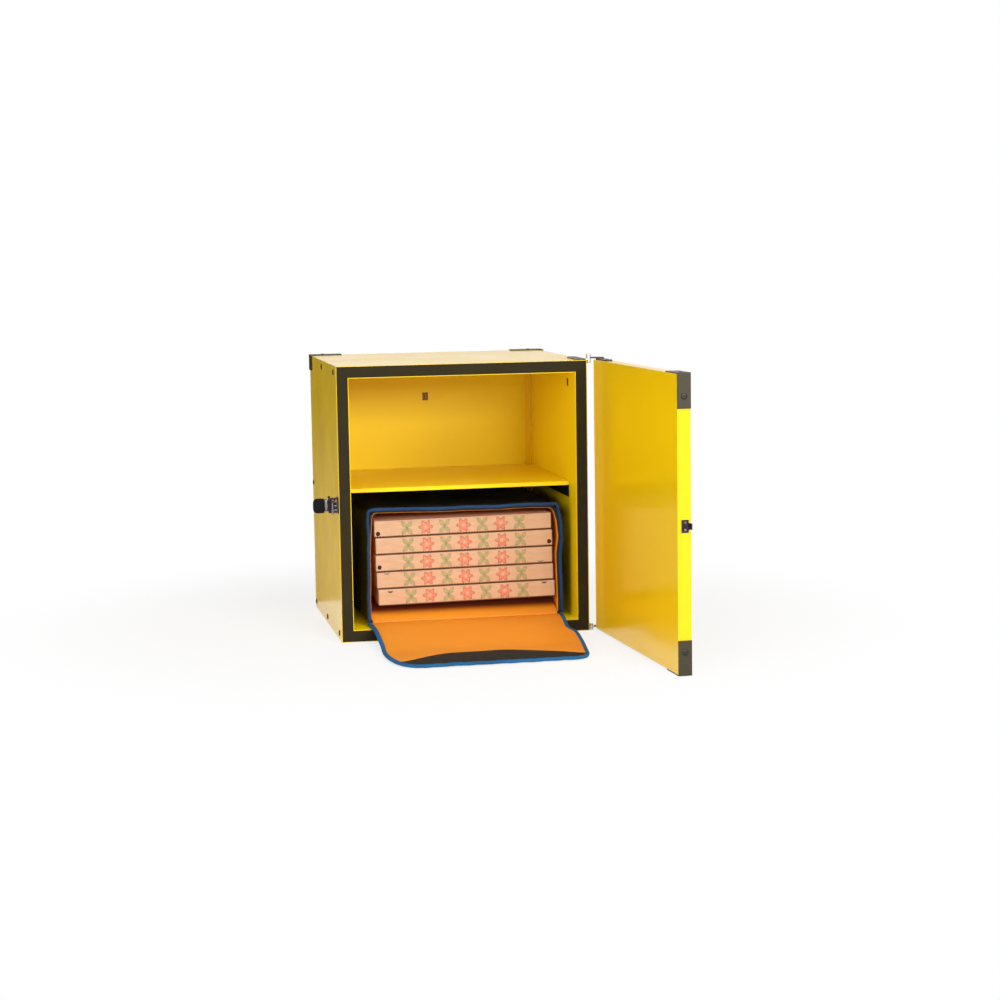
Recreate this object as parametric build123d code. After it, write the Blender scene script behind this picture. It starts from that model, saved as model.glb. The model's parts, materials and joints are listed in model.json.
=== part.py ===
from build123d import *
import math
import os

# Insulated delivery box with a side-hung door, a loose shelf and a soft bag of flat cartons.
# Millimetres. X to the right seen from the front, Y to the back, Z up.
# The origin is the middle of the box's underside. The door stands open, as it was found.

os.makedirs("parts", exist_ok=True)

# Cartons. The bag and the case are made to take them.
carton_w = 330.0
carton_h = 31.4
carton_board = 1.6
carton_count = 5
carton_shift_x = [3.2, 0.7, -1.0, -0.4, -2.4]
carton_shift_y = [0.0, 0.8, -0.7, 0.5, -0.3]

# Room left round the cartons, the bag and the shelf
carton_side_room = 25.0
carton_front_room = 2.0
carton_back_room = 6.0
carton_head_room = 18.6
carton_off = 1.6
bag_side_room = 51.0
bag_front = 39.0
bag_back_gap = 6.0
bag_off = 4.5
shelf_over_bag = 33.0
goods_room = 205.0

# Case walls
skin_t = 1.0
foam_t = 20.0
liner_t = 1.0
seal_t = 4.5
seal_recess = 0.5
fit_gap = 0.3

# Door
door_t = 23.5
door_sheet = 1.0
door_inner_flange = 5.5
door_lift = 3.2
door_gap = 0.3
open_angle = 93.2

# Hinges
hinge_out = 5.0
hinge_back = 8.0
leaf_t = 2.5
leaf_w = 17.0
case_leaf_len = 85.0
door_leaf_len = 60.0
door_leaf_w = 15.0
leaf_edge = 0.5
eye_r = 4.5
pin_r = 2.5
pin_clear = 0.05
pin_head_r = 3.8
pin_head_t = 1.2
top_eye_drop = 6.0
top_eye_len = 7.2
low_eye_len = 5.0
neck_w = 7.0

# Corner guards
guard_t = 2.0
case_guard_len = 60.0
case_guard_depth = 22.0
case_guard_drop = 28.0
case_guard_side = 38.0
door_guard_len = 57.0

# Screws and rivets
rivet_r = 5.5
rivet_t = 1.8
rivet_inset = 12.0
rivet_front = 36.0
rivet_middle = 11.0
rivet_rear = 12.4
screw_r = 3.5
screw_t = 1.2
guard_screw_r = 5.5
guard_screw_in = 24.0
leg_screw_in = 37.0
arm_screw_in = 15.0

# Latch on the left wall
latch_front = 9.0
latch_stand = 6.5
latch_plate_t = 2.0
latch_plate_l = 25.0
latch_plate_h = 28.0
ear_t = 2.0
ear_r = 4.5
ear_span = 26.0
lever_pin_r = 1.5
lever_hub_r = 4.0
lever_arm_t = 2.5
lever_arm_len = 31.2
lever_len = 39.2
grip_len = 19.8
grip_over = 2.3
grip_corner = 7.5
grip_t = 10.0
boss_r = 3.0
boss_h = 15.0
boss_x = -6.0
boss_y = -7.5
bail_r = 1.5
bail_w = 19.0
bail_rest = 265.0
bail_turn = 3.2

# Keeper on the door's free edge
keeper_t = 2.0
keeper_w = 12.0
keeper_h = 21.5
keeper_in = 6.7
tab_h = 10.6
tab_reach = 10.5
tab_face = 22.0
hook_x = 7.0
keeper_rivet_r = 2.5
keeper_rivet_gap = 12.0

# Inside
bead_leg = 12.0
bead_t = 1.5
shelf_t = 1.5
shelf_lip = 7.0
shelf_setback = 54.0
shelf_side_gap = 0.6
runner_leg = 16.0
runner_drop = 28.0
runner_t = 1.5
runner_setback = 4.0
vent_w = 11.5
vent_h = 15.5
vent_t = 4.0
vent_slot_w = 3.5
vent_slot_h = 11.5
vent_bar = 2.0
back_vent_x = -5.5
back_vent_down = 64.0
side_vent_in = 61.5
side_vent_down = 21.0

# Soft bag
bag_wall = 4.0
bag_corner = 22.0
lining_t = 1.0
pad_t = 30.6
binding_w = 7.5
binding_t = 6.5
binding_foot = 9.0

# Flap
flap_t = 4.0
flap_rim_t = 6.0
flap_face_t = 1.2
flap_reach = 309.0
flap_foot = 173.0
flap_rail = 34.0
flap_lie = 0.6
flap_corner = 35.0
flap_left_root = 5.0
flap_left_tip = 12.0
flap_right_root = 0.0
flap_right_wide = 9.0
flap_right_tip = 10.5
band_w = 42.0
arch_rise = 38.0

# The bag holds the stack of cartons, and the case holds the bag
wall = skin_t + foam_t + liner_t
lining_in = bag_wall + lining_t
carton_pitch = carton_h + fit_gap
stack_h = carton_count * carton_pitch
bag_w = carton_w + carton_side_room + 2 * lining_in
bag_h = lining_in + pad_t + stack_h + carton_head_room + lining_in
bag_len = carton_front_room + carton_w + carton_back_room + lining_in
bag_z0 = wall + fit_gap
bag_z1 = bag_z0 + bag_h
shelf_top = bag_z1 + shelf_over_bag
width = bag_w + bag_side_room + 2 * wall
depth = bag_front + bag_len + bag_back_gap + wall
height = shelf_top + goods_room + wall

# Places that follow from the sizes
hw = width / 2
front = -depth / 2
back = depth / 2
in_x = hw - wall
in_back = back - wall
in_low = wall
in_top = height - wall
hinge_x = hw + hinge_out
hinge_y = front + hinge_back
door_in = front - door_gap
door_out = door_in - door_t
door_mid = (door_in + door_out) / 2
latch_x = -hw - latch_stand
latch_y = front + latch_front
latch_z = height / 2
back_vent_z = in_top - back_vent_down
side_vent_z = in_top - side_vent_down
side_vent_y = front + side_vent_in


def block(x0, x1, y0, y1, z0, z1):
    """A box between two corners."""
    size = Box(x1 - x0, y1 - y0, z1 - z0)
    return Pos((x0 + x1) / 2, (y0 + y1) / 2, (z0 + z1) / 2) * size


def rod(x, y, z0, z1, r):
    """An upright round bar."""
    return Pos(x, y, (z0 + z1) / 2) * Cylinder(r, z1 - z0)


def side_head(x0, x1, y, z, r):
    """A round head that stands out along X."""
    return Pos((x0 + x1) / 2, y, z) * Rot(0, 90, 0) * Cylinder(r, x1 - x0)


def plate(points, z0, z1):
    """A flat plate of the outline points in plan."""
    face = make_face(Polyline(points, close=True))
    return Pos(0, 0, z0) * extrude(face, z1 - z0)


def upright(points, y0, y1):
    """A plate of the outline points (x, z), standing between two values of y."""
    face = make_face(Polyline([(x, y0, z) for x, z in points], close=True))
    return extrude(face, y1 - y0, dir=(0, 1, 0))


def strip(points, x0, x1):
    """A prism of the outline points (y, z), running from x0 to x1."""
    face = make_face(Polyline([(x0, y, z) for y, z in points], close=True))
    return extrude(face, x1 - x0, dir=(1, 0, 0))


def save(name, *solids):
    """Writes one sub-part."""
    found = [s for shape in solids for s in shape.solids()]
    export_step(found[0] if len(found) == 1 else Compound(found), f"parts/{name}.step")


def swing(shape):
    """Carries a piece of the closed door to where the door stands."""
    return shape.rotate(Axis((hinge_x, hinge_y, 0), (0, 0, 1)), open_angle)


# Top and bottom hinge leaves of the case
leaf_x1 = hw - leaf_edge
leaf_x0 = leaf_x1 - leaf_w
leaf_y0 = front + skin_t + seal_t - seal_recess
leaf_y1 = leaf_y0 + case_leaf_len - leaf_w / 2
leaf_xm = (leaf_x0 + leaf_x1) / 2


def case_leaf(z0, z1):
    """A strap with a rounded rear end and a neck that reaches out to the pin."""
    strap = block(leaf_x0, leaf_x1, leaf_y0, leaf_y1, z0, z1)
    strap += rod(leaf_xm, leaf_y1, z0, z1, leaf_w / 2)
    strap += block(leaf_x0 + leaf_w / 2, hinge_x, leaf_y0, leaf_y0 + neck_w, z0, z1)
    return strap


bore_r = pin_r + pin_clear
case_top_z0 = height - top_eye_drop
case_top_z1 = height + leaf_t
case_leaf_top = case_leaf(height, case_top_z1) + rod(hinge_x, hinge_y, case_top_z0, case_top_z1, eye_r)
case_leaf_top -= rod(hinge_x, hinge_y, case_top_z0 - 1, case_top_z1 + 1, bore_r)
case_leaf_low = case_leaf(0, leaf_t) + rod(hinge_x, hinge_y, 0, low_eye_len, eye_r)
case_leaf_low -= rod(hinge_x, hinge_y, -1, low_eye_len + 1, bore_r)
leaf_recess = case_leaf(0, leaf_t)
leaf_recess -= block(hw, hinge_x + 1, front, back, -1, leaf_t + 1)

# Vents, each let into the liner and the foam behind it


def vent_cut(dx, dy):
    """The pocket of a vent, wide along X or along Y."""
    return Box(dx, dy, vent_h)


back_vent = Pos(back_vent_x, in_back + vent_t / 2, back_vent_z)
side_vent = Pos(in_x + vent_t / 2, side_vent_y, side_vent_z)
back_pocket = back_vent * vent_cut(vent_w, vent_t)
side_pocket = side_vent * vent_cut(vent_t, vent_w)
slot_step = (vent_slot_w + vent_bar) / 2
slot_deep = vent_t - 1
back_vent_plug = back_pocket
side_vent_plug = side_pocket
for s in (-1, 1):
    slot = Box(vent_slot_w, slot_deep, vent_slot_h)
    back_vent_plug -= Pos(back_vent_x + s * slot_step, in_back + slot_deep / 2, back_vent_z) * slot
    slot = Box(slot_deep, vent_slot_w, vent_slot_h)
    side_vent_plug -= Pos(in_x + slot_deep / 2, side_vent_y + s * slot_step, side_vent_z) * slot

# Case walls: outer sheet, foam slab and inner sheet, with the seal over the foam's front edge
sx = hw - skin_t
fx = sx - foam_t
fy = back - skin_t
ly = fy - foam_t
seal_back = front + seal_recess + seal_t
low_f = skin_t + foam_t
top_s = height - skin_t
top_f = top_s - foam_t
save("skin_left", block(-hw, -sx, front, back, 0, height))
save("skin_right", block(sx, hw, front, back, 0, height) - leaf_recess)
save("skin_top", block(-sx, sx, front, back, top_s, height))
save("skin_bottom", block(-sx, sx, front, back, 0, skin_t) - leaf_recess)
save("skin_back", block(-sx, sx, fy, back, skin_t, top_s))
save("foam_left", block(-sx, -fx, seal_back, fy, skin_t, top_s))
save("foam_right", block(fx, sx, seal_back, fy, skin_t, top_s) - leaf_recess - side_pocket)
save("foam_top", block(-fx, fx, seal_back, fy, top_f, top_s))
save("foam_bottom", block(-fx, fx, seal_back, fy, skin_t, low_f))
save("foam_back", block(-fx, fx, ly, fy, low_f, top_f) - back_pocket)
save("liner_left", block(-fx, -in_x, front, ly, low_f, top_f))
save("liner_right", block(in_x, fx, front, ly, low_f, top_f) - side_pocket)
save("liner_top", block(-in_x, in_x, front, ly, in_top, top_f))
save("liner_floor", block(-in_x, in_x, front, ly, low_f, in_low))
save("liner_back", block(-in_x, in_x, in_back, ly, in_low, in_top) - back_pocket)
save("vents", back_vent_plug, side_vent_plug)

seal_y0 = front + seal_recess
o0 = skin_t
o1 = top_s
i0 = low_f
i1 = top_f
save("seal_left", upright([(-sx, o0), (-fx, i0), (-fx, i1), (-sx, o1)], seal_y0, seal_back))
save("seal_right", upright([(sx, o0), (fx, i0), (fx, i1), (sx, o1)], seal_y0, seal_back))
save("seal_top", upright([(-sx, o1), (-fx, i1), (fx, i1), (sx, o1)], seal_y0, seal_back))
save("seal_bottom", upright([(-sx, o0), (-fx, i0), (fx, i0), (sx, o0)], seal_y0, seal_back))

# Corner beads down the two rear corners
for name, s in (("corner_bead_left", -1), ("corner_bead_right", 1)):
    a = s * in_x
    b = s * (in_x - bead_t)
    c = s * (in_x - bead_leg)
    y0 = in_back - bead_leg
    y1 = in_back - bead_t
    ell = [(a, in_back), (a, y0), (b, y0), (b, y1), (c, y1), (c, in_back)]
    save(name, plate(ell, in_low, in_top))

# Shelf on two angle runners
shelf_x = in_x - shelf_side_gap
shelf_y0 = front + shelf_setback
shelf_z0 = shelf_top - shelf_t
notch = bead_leg + 1
tray = block(-shelf_x, shelf_x, shelf_y0, in_back - fit_gap, shelf_z0, shelf_top)
tray += block(-shelf_x, shelf_x, shelf_y0, shelf_y0 + shelf_t, shelf_top - shelf_lip, shelf_top)
for s in (-1, 1):
    tray -= Pos(s * shelf_x, in_back, shelf_z0) * Box(2 * notch, 2 * notch, 4 * shelf_t)
save("shelf_tray", tray)
runners = []
for s in (-1, 1):
    z1 = shelf_z0 - fit_gap
    x0 = in_x
    x1 = in_x - runner_leg
    ell = [
        (s * x0, z1),
        (s * x1, z1),
        (s * x1, z1 - runner_t),
        (s * (x0 - runner_t), z1 - runner_t),
        (s * (x0 - runner_t), z1 - runner_drop),
        (s * x0, z1 - runner_drop),
    ]
    runners.append(upright(ell, shelf_y0 + runner_setback, in_back - bead_leg - 1))
save("shelf_runners", *runners)

# Guards on the two rear top corners of the case
for name, s in (("case_guard_left", -1), ("case_guard_right", 1)):
    xa = s * (hw + guard_t)
    xb = s * hw
    xc = s * (hw - case_guard_len)
    top_leg = block(min(xa, xc), max(xa, xc), back - case_guard_depth, back, height, height + guard_t)
    side_leg = block(
        min(xa, xb), max(xa, xb), back - case_guard_side, back, height - case_guard_drop, height
    )
    side_leg += block(
        min(xa, xb), max(xa, xb), back - case_guard_side, back, height, height + guard_t
    )
    save(name, top_leg + side_leg)

# Hinge leaves and pins
save("case_hinge_top", case_leaf_top)
save("case_hinge_bottom", case_leaf_low)
door_eye_z0 = case_top_z1 + fit_gap
door_eye_z1 = door_eye_z0 + top_eye_len
low_eye_z0 = low_eye_len + fit_gap
low_eye_z1 = low_eye_z0 + low_eye_len
pin_top = rod(hinge_x, hinge_y, case_top_z0, door_eye_z1 + fit_gap, pin_r)
pin_top += rod(hinge_x, hinge_y, door_eye_z1 + fit_gap, door_eye_z1 + fit_gap + pin_head_t, pin_head_r)
pin_low = rod(hinge_x, hinge_y, 0, low_eye_z1 + fit_gap, pin_r)
pin_low += rod(hinge_x, hinge_y, low_eye_z1 + fit_gap, low_eye_z1 + fit_gap + pin_head_t, pin_head_r)
save("hinge_pins", pin_top, pin_low)

# Panel rivets on both side walls, and small screw heads on guards, hinge and latch
rivets = []
for s in (-1, 1):
    rear_y = back - rivet_rear
    places = [(front + rivet_front, z) for z in (rivet_inset, height - rivet_inset)]
    places += [(rivet_middle, z) for z in (rivet_inset, height - rivet_inset)]
    places += [(rear_y, rivet_inset), (rear_y, height / 2)]
    for y, z in places:
        x0 = s * hw
        x1 = s * (hw + rivet_t)
        rivets.append(side_head(min(x0, x1), max(x0, x1), y, z, rivet_r))
save("panel_rivets", *rivets)
screws = []
top_g = height + guard_t
for s in (-1, 1):
    screws.append(rod(s * (hw - guard_screw_in), back - case_guard_depth / 2, top_g, top_g + screw_t, screw_r))
for share in (0.15, 0.5, 0.85):
    y = leaf_y0 + share * (case_leaf_len - leaf_w / 2)
    screws.append(rod(leaf_xm, y, case_top_z1, case_top_z1 + screw_t / 3, screw_r))
save("case_screws", *screws)

# Latch base: plate with three ears and the pivot pin
base_x = -hw - latch_plate_t
base_y0 = front + 1.5
half_span = ear_span / 2
z_lo = latch_z - latch_plate_h / 2
z_hi = latch_z + latch_plate_h / 2
latch_base = block(base_x, -hw, base_y0, base_y0 + latch_plate_l, z_lo, z_hi)
ear_levels = [
    (latch_z - half_span, latch_z - half_span + ear_t),
    (latch_z - ear_t / 2, latch_z + ear_t / 2),
    (latch_z + half_span - ear_t, latch_z + half_span),
]
for z0, z1 in ear_levels:
    ear = block(latch_x, base_x, latch_y - ear_r, latch_y + ear_r, z0, z1)
    ear += rod(latch_x, latch_y, z0, z1, ear_r)
    latch_base += ear - rod(latch_x, latch_y, z0 - 1, z1 + 1, lever_pin_r + pin_clear)
save("latch_base", latch_base)
pin_end = half_span + 0.8
save("latch_pin", rod(latch_x, latch_y, latch_z - pin_end, latch_z + pin_end, lever_pin_r))
latch_rivets = []
for s in (-1, 1):
    y = base_y0 + latch_plate_l - 4.5
    latch_rivets.append(side_head(base_x - 1.5, base_x, y, latch_z + s * keeper_rivet_gap / 2, 2.5))
save("latch_rivets", *latch_rivets)

# Latch lever, sticking straight out as it was left
lever_half = half_span - ear_t - fit_gap
bx = latch_x + boss_x
by = latch_y + boss_y
web = [
    (latch_x, latch_y + 3),
    (latch_x - 14, latch_y + lever_arm_t / 2),
    (latch_x - 14, latch_y - lever_arm_t / 2),
    (bx - 2, by - 1),
    (bx + 2, by - 1),
    (latch_x, latch_y - 3),
]
lever = rod(latch_x, latch_y, latch_z - lever_half, latch_z + lever_half, lever_hub_r)
lever += rod(bx, by, latch_z - boss_h / 2, latch_z + boss_h / 2, boss_r)
lever += plate(web, latch_z - boss_h / 2, latch_z + boss_h / 2)
arm_x0 = latch_x - lever_arm_len
arm = block(
    arm_x0,
    latch_x - 12,
    latch_y - lever_arm_t / 2,
    latch_y + lever_arm_t / 2,
    latch_z - lever_half,
    latch_z + lever_half,
)
lever += arm
mid_cut = ear_t / 2 + fit_gap
mid_r = ear_r * 1.3
lever -= rod(latch_x, latch_y, latch_z - mid_cut, latch_z + mid_cut, mid_r)
lever -= rod(latch_x, latch_y, latch_z - half_span, latch_z + half_span, lever_pin_r + pin_clear)
bail_in = boss_h / 2 - bail_turn
for s in (-1, 1):
    z0 = latch_z + s * (bail_in - fit_gap)
    z1 = latch_z + s * boss_h
    lever -= rod(bx, by, min(z0, z1), max(z0, z1), bail_r + pin_clear)
save("latch_lever", lever)
grip_x0 = latch_x - lever_len
grip = block(
    grip_x0,
    grip_x0 + grip_len,
    latch_y - grip_t / 2,
    latch_y + grip_t / 2,
    latch_z - lever_half - grip_over,
    latch_z + lever_half + grip_over,
)
grip = fillet(grip.edges().filter_by(Axis.Z), grip_t * 0.4)
face = Plane((grip_x0 + grip_len, latch_y + grip_t, latch_z), x_dir=(1, 0, 0), z_dir=(0, -1, 0))
grip &= extrude(
    face * RectangleRounded(2 * grip_len, 2 * (lever_half + grip_over), grip_corner), 2 * grip_t
)
save("latch_grip", grip - arm)

# The latch's wire bail. It hooks in front of the keeper's tab when the lever lies back.
hook_y = door_in - tab_face - bail_r - fit_gap
hook_at = (-hw - hook_x, hook_y)
shut_x = latch_x + boss_y
shut_y = latch_y - boss_x
bail_len = math.hypot(hook_at[0] - shut_x, hook_at[1] - shut_y)
shut_dir = math.degrees(math.atan2(hook_at[1] - shut_y, hook_at[0] - shut_x)) % 360
bail_ratio = (shut_dir + 90 - bail_rest) / -90
print(f"bail length {bail_len:.3f}, direction when shut {shut_dir:.3f}, ratio to lever {bail_ratio:.5f}")
cx = bx + bail_len * math.cos(math.radians(bail_rest))
cy = by + bail_len * math.sin(math.radians(bail_rest))
bail = rod(cx, cy, latch_z - bail_w / 2, latch_z + bail_w / 2, bail_r)
for s in (-1, 1):
    z = latch_z + s * bail_w / 2
    z_in = latch_z + s * bail_in
    leg = Pos((bx + cx) / 2, (by + cy) / 2, z) * Rot(0, 0, bail_rest) * Rot(0, 90, 0)
    bail += leg * Cylinder(bail_r, bail_len)
    bail += Pos(cx, cy, z) * Sphere(bail_r)
    bail += Pos(bx, by, z) * Sphere(bail_r)
    bail += rod(bx, by, min(z, z_in), max(z, z_in), bail_r)
save("latch_bail", bail)
print("hinge", hinge_x, hinge_y, "latch pivot", latch_x, latch_y, "bail pivot", bx, by)

# Door: two pressed pans over a foam core
dz0 = door_lift
dz1 = height
d_split = door_in - door_inner_flange
dx = hw - door_sheet
inner_pan = block(-hw, hw, d_split, door_in, dz0, dz1)
inner_pan -= block(-dx, dx, d_split - 1, door_in - door_sheet, dz0 + door_sheet, dz1 - door_sheet)
outer_pan = block(-hw, hw, door_out, d_split, dz0, dz1)
outer_pan -= block(-dx, dx, door_out + door_sheet, d_split + 1, dz0 + door_sheet, dz1 - door_sheet)
core = block(
    -dx, dx, door_out + door_sheet, door_in - door_sheet, dz0 + door_sheet, dz1 - door_sheet
)
save("door_inner_pan", swing(inner_pan))
save("door_outer_pan", swing(outer_pan))
save("door_core", swing(core))

# Door guards on the two free corners
for name, z_edge, up in (("door_guard_top", dz1, 1), ("door_guard_bottom", dz0, -1)):
    za = z_edge + up * guard_t
    zb = z_edge - up * door_guard_len
    arm_g = block(-hw - guard_t, -hw + door_guard_len, door_out, door_in, min(za, z_edge), max(za, z_edge))
    leg_g = block(-hw - guard_t, -hw, door_out, door_in, min(za, zb), max(za, zb))
    save(name, swing(arm_g + leg_g))

# Door hinge leaves
leaf_tip = hw - door_leaf_len + door_leaf_w / 2
leaf_ya = door_mid - door_leaf_w / 2
leaf_yb = door_mid + door_leaf_w / 2


def door_leaf(z0, z1):
    """A strap along the door's edge with a rounded free end."""
    strap = block(leaf_tip, hw - leaf_edge, leaf_ya, leaf_yb, z0, z1)
    return strap + rod(leaf_tip, door_mid, z0, z1, door_leaf_w / 2)


neck_ya = door_mid - 5
neck_yb = door_mid + 5
neck_pts = [
    (hinge_x + 4.3, hinge_y - 1),
    (hinge_x - 4.3, hinge_y + 1),
]
top_neck = [(hw - 11, neck_ya), (hw - leaf_edge, neck_ya)] + neck_pts + [(hw - 11, neck_yb)]
leaf_up = door_leaf(height, case_top_z1)
leaf_up += block(hw - 11, hw - leaf_edge, neck_ya, neck_yb, case_top_z1, door_eye_z0)
leaf_up += plate(top_neck, door_eye_z0, door_eye_z0 + leaf_t)
leaf_up += rod(hinge_x, hinge_y, door_eye_z0, door_eye_z1, eye_r)
leaf_up -= rod(hinge_x, hinge_y, door_eye_z0 - 1, door_eye_z1 + 1, bore_r)
save("door_hinge_top", swing(leaf_up))
low_neck = [(hw, neck_ya), (hw + leaf_t, neck_ya)] + neck_pts + [(hw, neck_yb)]
leaf_dn = door_leaf(dz0 - leaf_t, dz0)
leaf_dn += block(hw - leaf_edge - 1, hw + leaf_t, neck_ya, neck_yb, dz0 - leaf_t, dz0)
leaf_dn += block(hw, hw + leaf_t, neck_ya, neck_yb, dz0 - leaf_t, low_eye_z0 + leaf_t)
leaf_dn += plate(low_neck, low_eye_z0, low_eye_z0 + leaf_t)
leaf_dn += rod(hinge_x, hinge_y, low_eye_z0, low_eye_z1, eye_r)
leaf_dn -= rod(hinge_x, hinge_y, low_eye_z0 - 1, low_eye_z1 + 1, bore_r)
save("door_hinge_bottom", swing(leaf_dn))

# Keeper and the door's small heads
kx = -hw - keeper_t
ky1 = door_in - keeper_in
ky0 = ky1 - keeper_w
tab_y0 = door_in - tab_face
keeper = block(kx, -hw, ky0, ky1, latch_z - keeper_h / 2, latch_z + keeper_h / 2)
keeper += block(kx, -hw, tab_y0, ky0, latch_z - tab_h / 2, latch_z + tab_h / 2)
keeper += block(
    -hw - tab_reach, -hw, tab_y0, tab_y0 + keeper_t, latch_z - tab_h / 2, latch_z + tab_h / 2
)
save("keeper", swing(keeper))
heads = []
for s in (-1, 1):
    z = latch_z + s * keeper_rivet_gap / 2
    heads.append(side_head(kx - 1.2, kx, (ky0 + ky1) / 2, z, keeper_rivet_r))
for z in (dz1 - leg_screw_in, dz0 + leg_screw_in):
    heads.append(side_head(-hw - guard_t - screw_t, -hw - guard_t, door_mid, z, guard_screw_r))
heads.append(rod(-hw + arm_screw_in, door_mid, dz1 + guard_t, dz1 + guard_t + screw_t, screw_r))
for share in (0.3, 0.8):
    x = hw - share * door_leaf_len
    heads.append(rod(x, door_mid, case_top_z1, case_top_z1 + screw_t / 3, screw_r))
save("door_screws", *[swing(h) for h in heads])

# Soft bag: shell, lining, base pad and the binding round its mouth
bag_x0 = bag_off - bag_w / 2
bag_x1 = bag_off + bag_w / 2
bag_y0 = front + bag_front
bag_y1 = in_back - bag_back_gap
bag_zm = (bag_z0 + bag_z1) / 2


def sleeve(inset, y0, y1):
    """A block with the bag's rounded outline, drawn in by inset."""
    outline = Plane((bag_off, y0, bag_zm), x_dir=(1, 0, 0), z_dir=(0, -1, 0))
    corner = bag_corner - inset
    face = outline * RectangleRounded(bag_w - 2 * inset, bag_h - 2 * inset, corner)
    return extrude(face, -(y1 - y0))


sill_y0 = bag_y0 - binding_t
sill_z = bag_z0 + bag_wall
shell = sleeve(0, bag_y0, bag_y1) - sleeve(bag_wall, bag_y0 - 1, bag_y1 - bag_wall)
shell += sleeve(0, sill_y0, bag_y0) & block(bag_x0, bag_x1, sill_y0, bag_y0, bag_z0, sill_z)
save("bag_shell", shell)
lining = sleeve(bag_wall, bag_y0, bag_y1 - bag_wall)
lining -= sleeve(lining_in, bag_y0 - 1, bag_y1 - lining_in)
lining += block(
    bag_x0 + bag_corner, bag_x1 - bag_corner, sill_y0, bag_y0, sill_z, sill_z + lining_t
)
save("bag_lining", lining)
pad_z0 = bag_z0 + lining_in
pad_z1 = pad_z0 + pad_t
pad = sleeve(lining_in + fit_gap, bag_y0 + 1, bag_y1 - lining_in - fit_gap)
pad &= block(bag_x0, bag_x1, bag_y0, bag_y1, bag_z0, pad_z1)
save("bag_base_pad", pad)
binding = sleeve(0, sill_y0, bag_y0) - sleeve(binding_w, sill_y0 - 1, bag_y0 + 1)
binding -= block(bag_x0 - 1, bag_x1 + 1, sill_y0 - 1, bag_y0 + 1, 0, bag_z0 + binding_foot)
save("bag_binding", binding)

# Flap: from the mouth's lower edge over the rail and down to the ground
fl_y0 = sill_y0 - fit_gap
fl_y1 = fl_y0 - flap_rail
fl_y2 = fl_y0 - flap_foot
fl_y3 = fl_y0 - flap_reach
fl_z = bag_z0 + fit_gap


def ramp(low, high):
    """The flap's run in profile, between two distances above its underside."""
    base = [(fl_y0, fl_z), (fl_y1, fl_z), (fl_y2, flap_lie), (fl_y3, flap_lie)]
    under = [(y, z + low) for y, z in base]
    over = [(y, z + high) for y, z in reversed(base)]
    return strip(under + over, bag_off - width, bag_off + width)


def outline_of(inset, y_front, y_root):
    """The flap's plan, drawn in by inset at the sides."""
    left_root = bag_x0 + flap_left_root + inset
    left_tip = bag_x0 + flap_left_tip + inset
    right_root = bag_x1 - flap_right_root - inset
    right_wide = bag_x1 + flap_right_wide - inset
    right_tip = bag_x1 - flap_right_tip - inset
    points = [
        (left_root, y_root),
        (left_tip, y_front),
        (right_tip, y_front),
        (right_wide, fl_y1),
        (right_root, y_root),
    ]
    return points


def plan_of(inset):
    """The flap's plan as a tall block with rounded front corners."""
    y_front = fl_y3 + inset
    body = plate(outline_of(inset, y_front, fl_y0), -5, height)
    near = [e for e in body.edges().filter_by(Axis.Z) if e.center().Y < y_front + 1]
    return fillet(near, flap_corner - inset)


rim = ramp(0, flap_rim_t) & (plan_of(0) - plan_of(binding_w))
save("flap_binding", rim)
inner_plan = plan_of(binding_w)
panel = ramp(0, flap_t) & inner_plan
save("flap_panel", panel)
band_y = fl_y3 + binding_w + band_w
arch = []
for k in range(13):
    u = k / 12
    x = bag_off - width / 2 + u * width
    arch.append((x, band_y - 22 + (arch_rise + 22) * math.sin(math.pi * u)))
front_zone = arch + [(bag_off + width / 2, fl_y3 - 50), (bag_off - width / 2, fl_y3 - 50)]
front_block = plate(front_zone, -5, height)
face_run = ramp(flap_t, flap_t + flap_face_t) & inner_plan
save("flap_closure", face_run & front_block)
save("flap_lining", face_run - front_block)
print("flap hinge", fl_y0, fl_z + flap_rim_t)

# Cartons: a tray of board with a lid
stack_z = pad_z1 + fit_gap
for k in range(carton_count):
    mid_x = bag_off + carton_off + carton_shift_x[k % len(carton_shift_x)]
    y0 = bag_y0 + carton_front_room + carton_shift_y[k % len(carton_shift_y)]
    z0 = stack_z + k * carton_pitch
    x0 = mid_x - carton_w / 2
    b = carton_board
    lid_z = z0 + carton_h - b
    carton_tray = block(x0, x0 + carton_w, y0, y0 + carton_w, z0, lid_z)
    carton_tray -= block(x0 + b, x0 + carton_w - b, y0 + b, y0 + carton_w - b, z0 + b, lid_z + 1)
    lid = block(x0, x0 + carton_w, y0, y0 + carton_w, lid_z, z0 + carton_h)
    save(f"carton_{k + 1}", carton_tray, lid)
print("carton pitch", carton_pitch, "first", stack_z)
print("case", width, depth, height, "shelf top", shelf_top, "bag", bag_w, bag_h)
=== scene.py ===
import json
from math import cos, pi, radians, sin

import bmesh
import bpy
import numpy as np
from mathutils import Matrix, Vector


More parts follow.
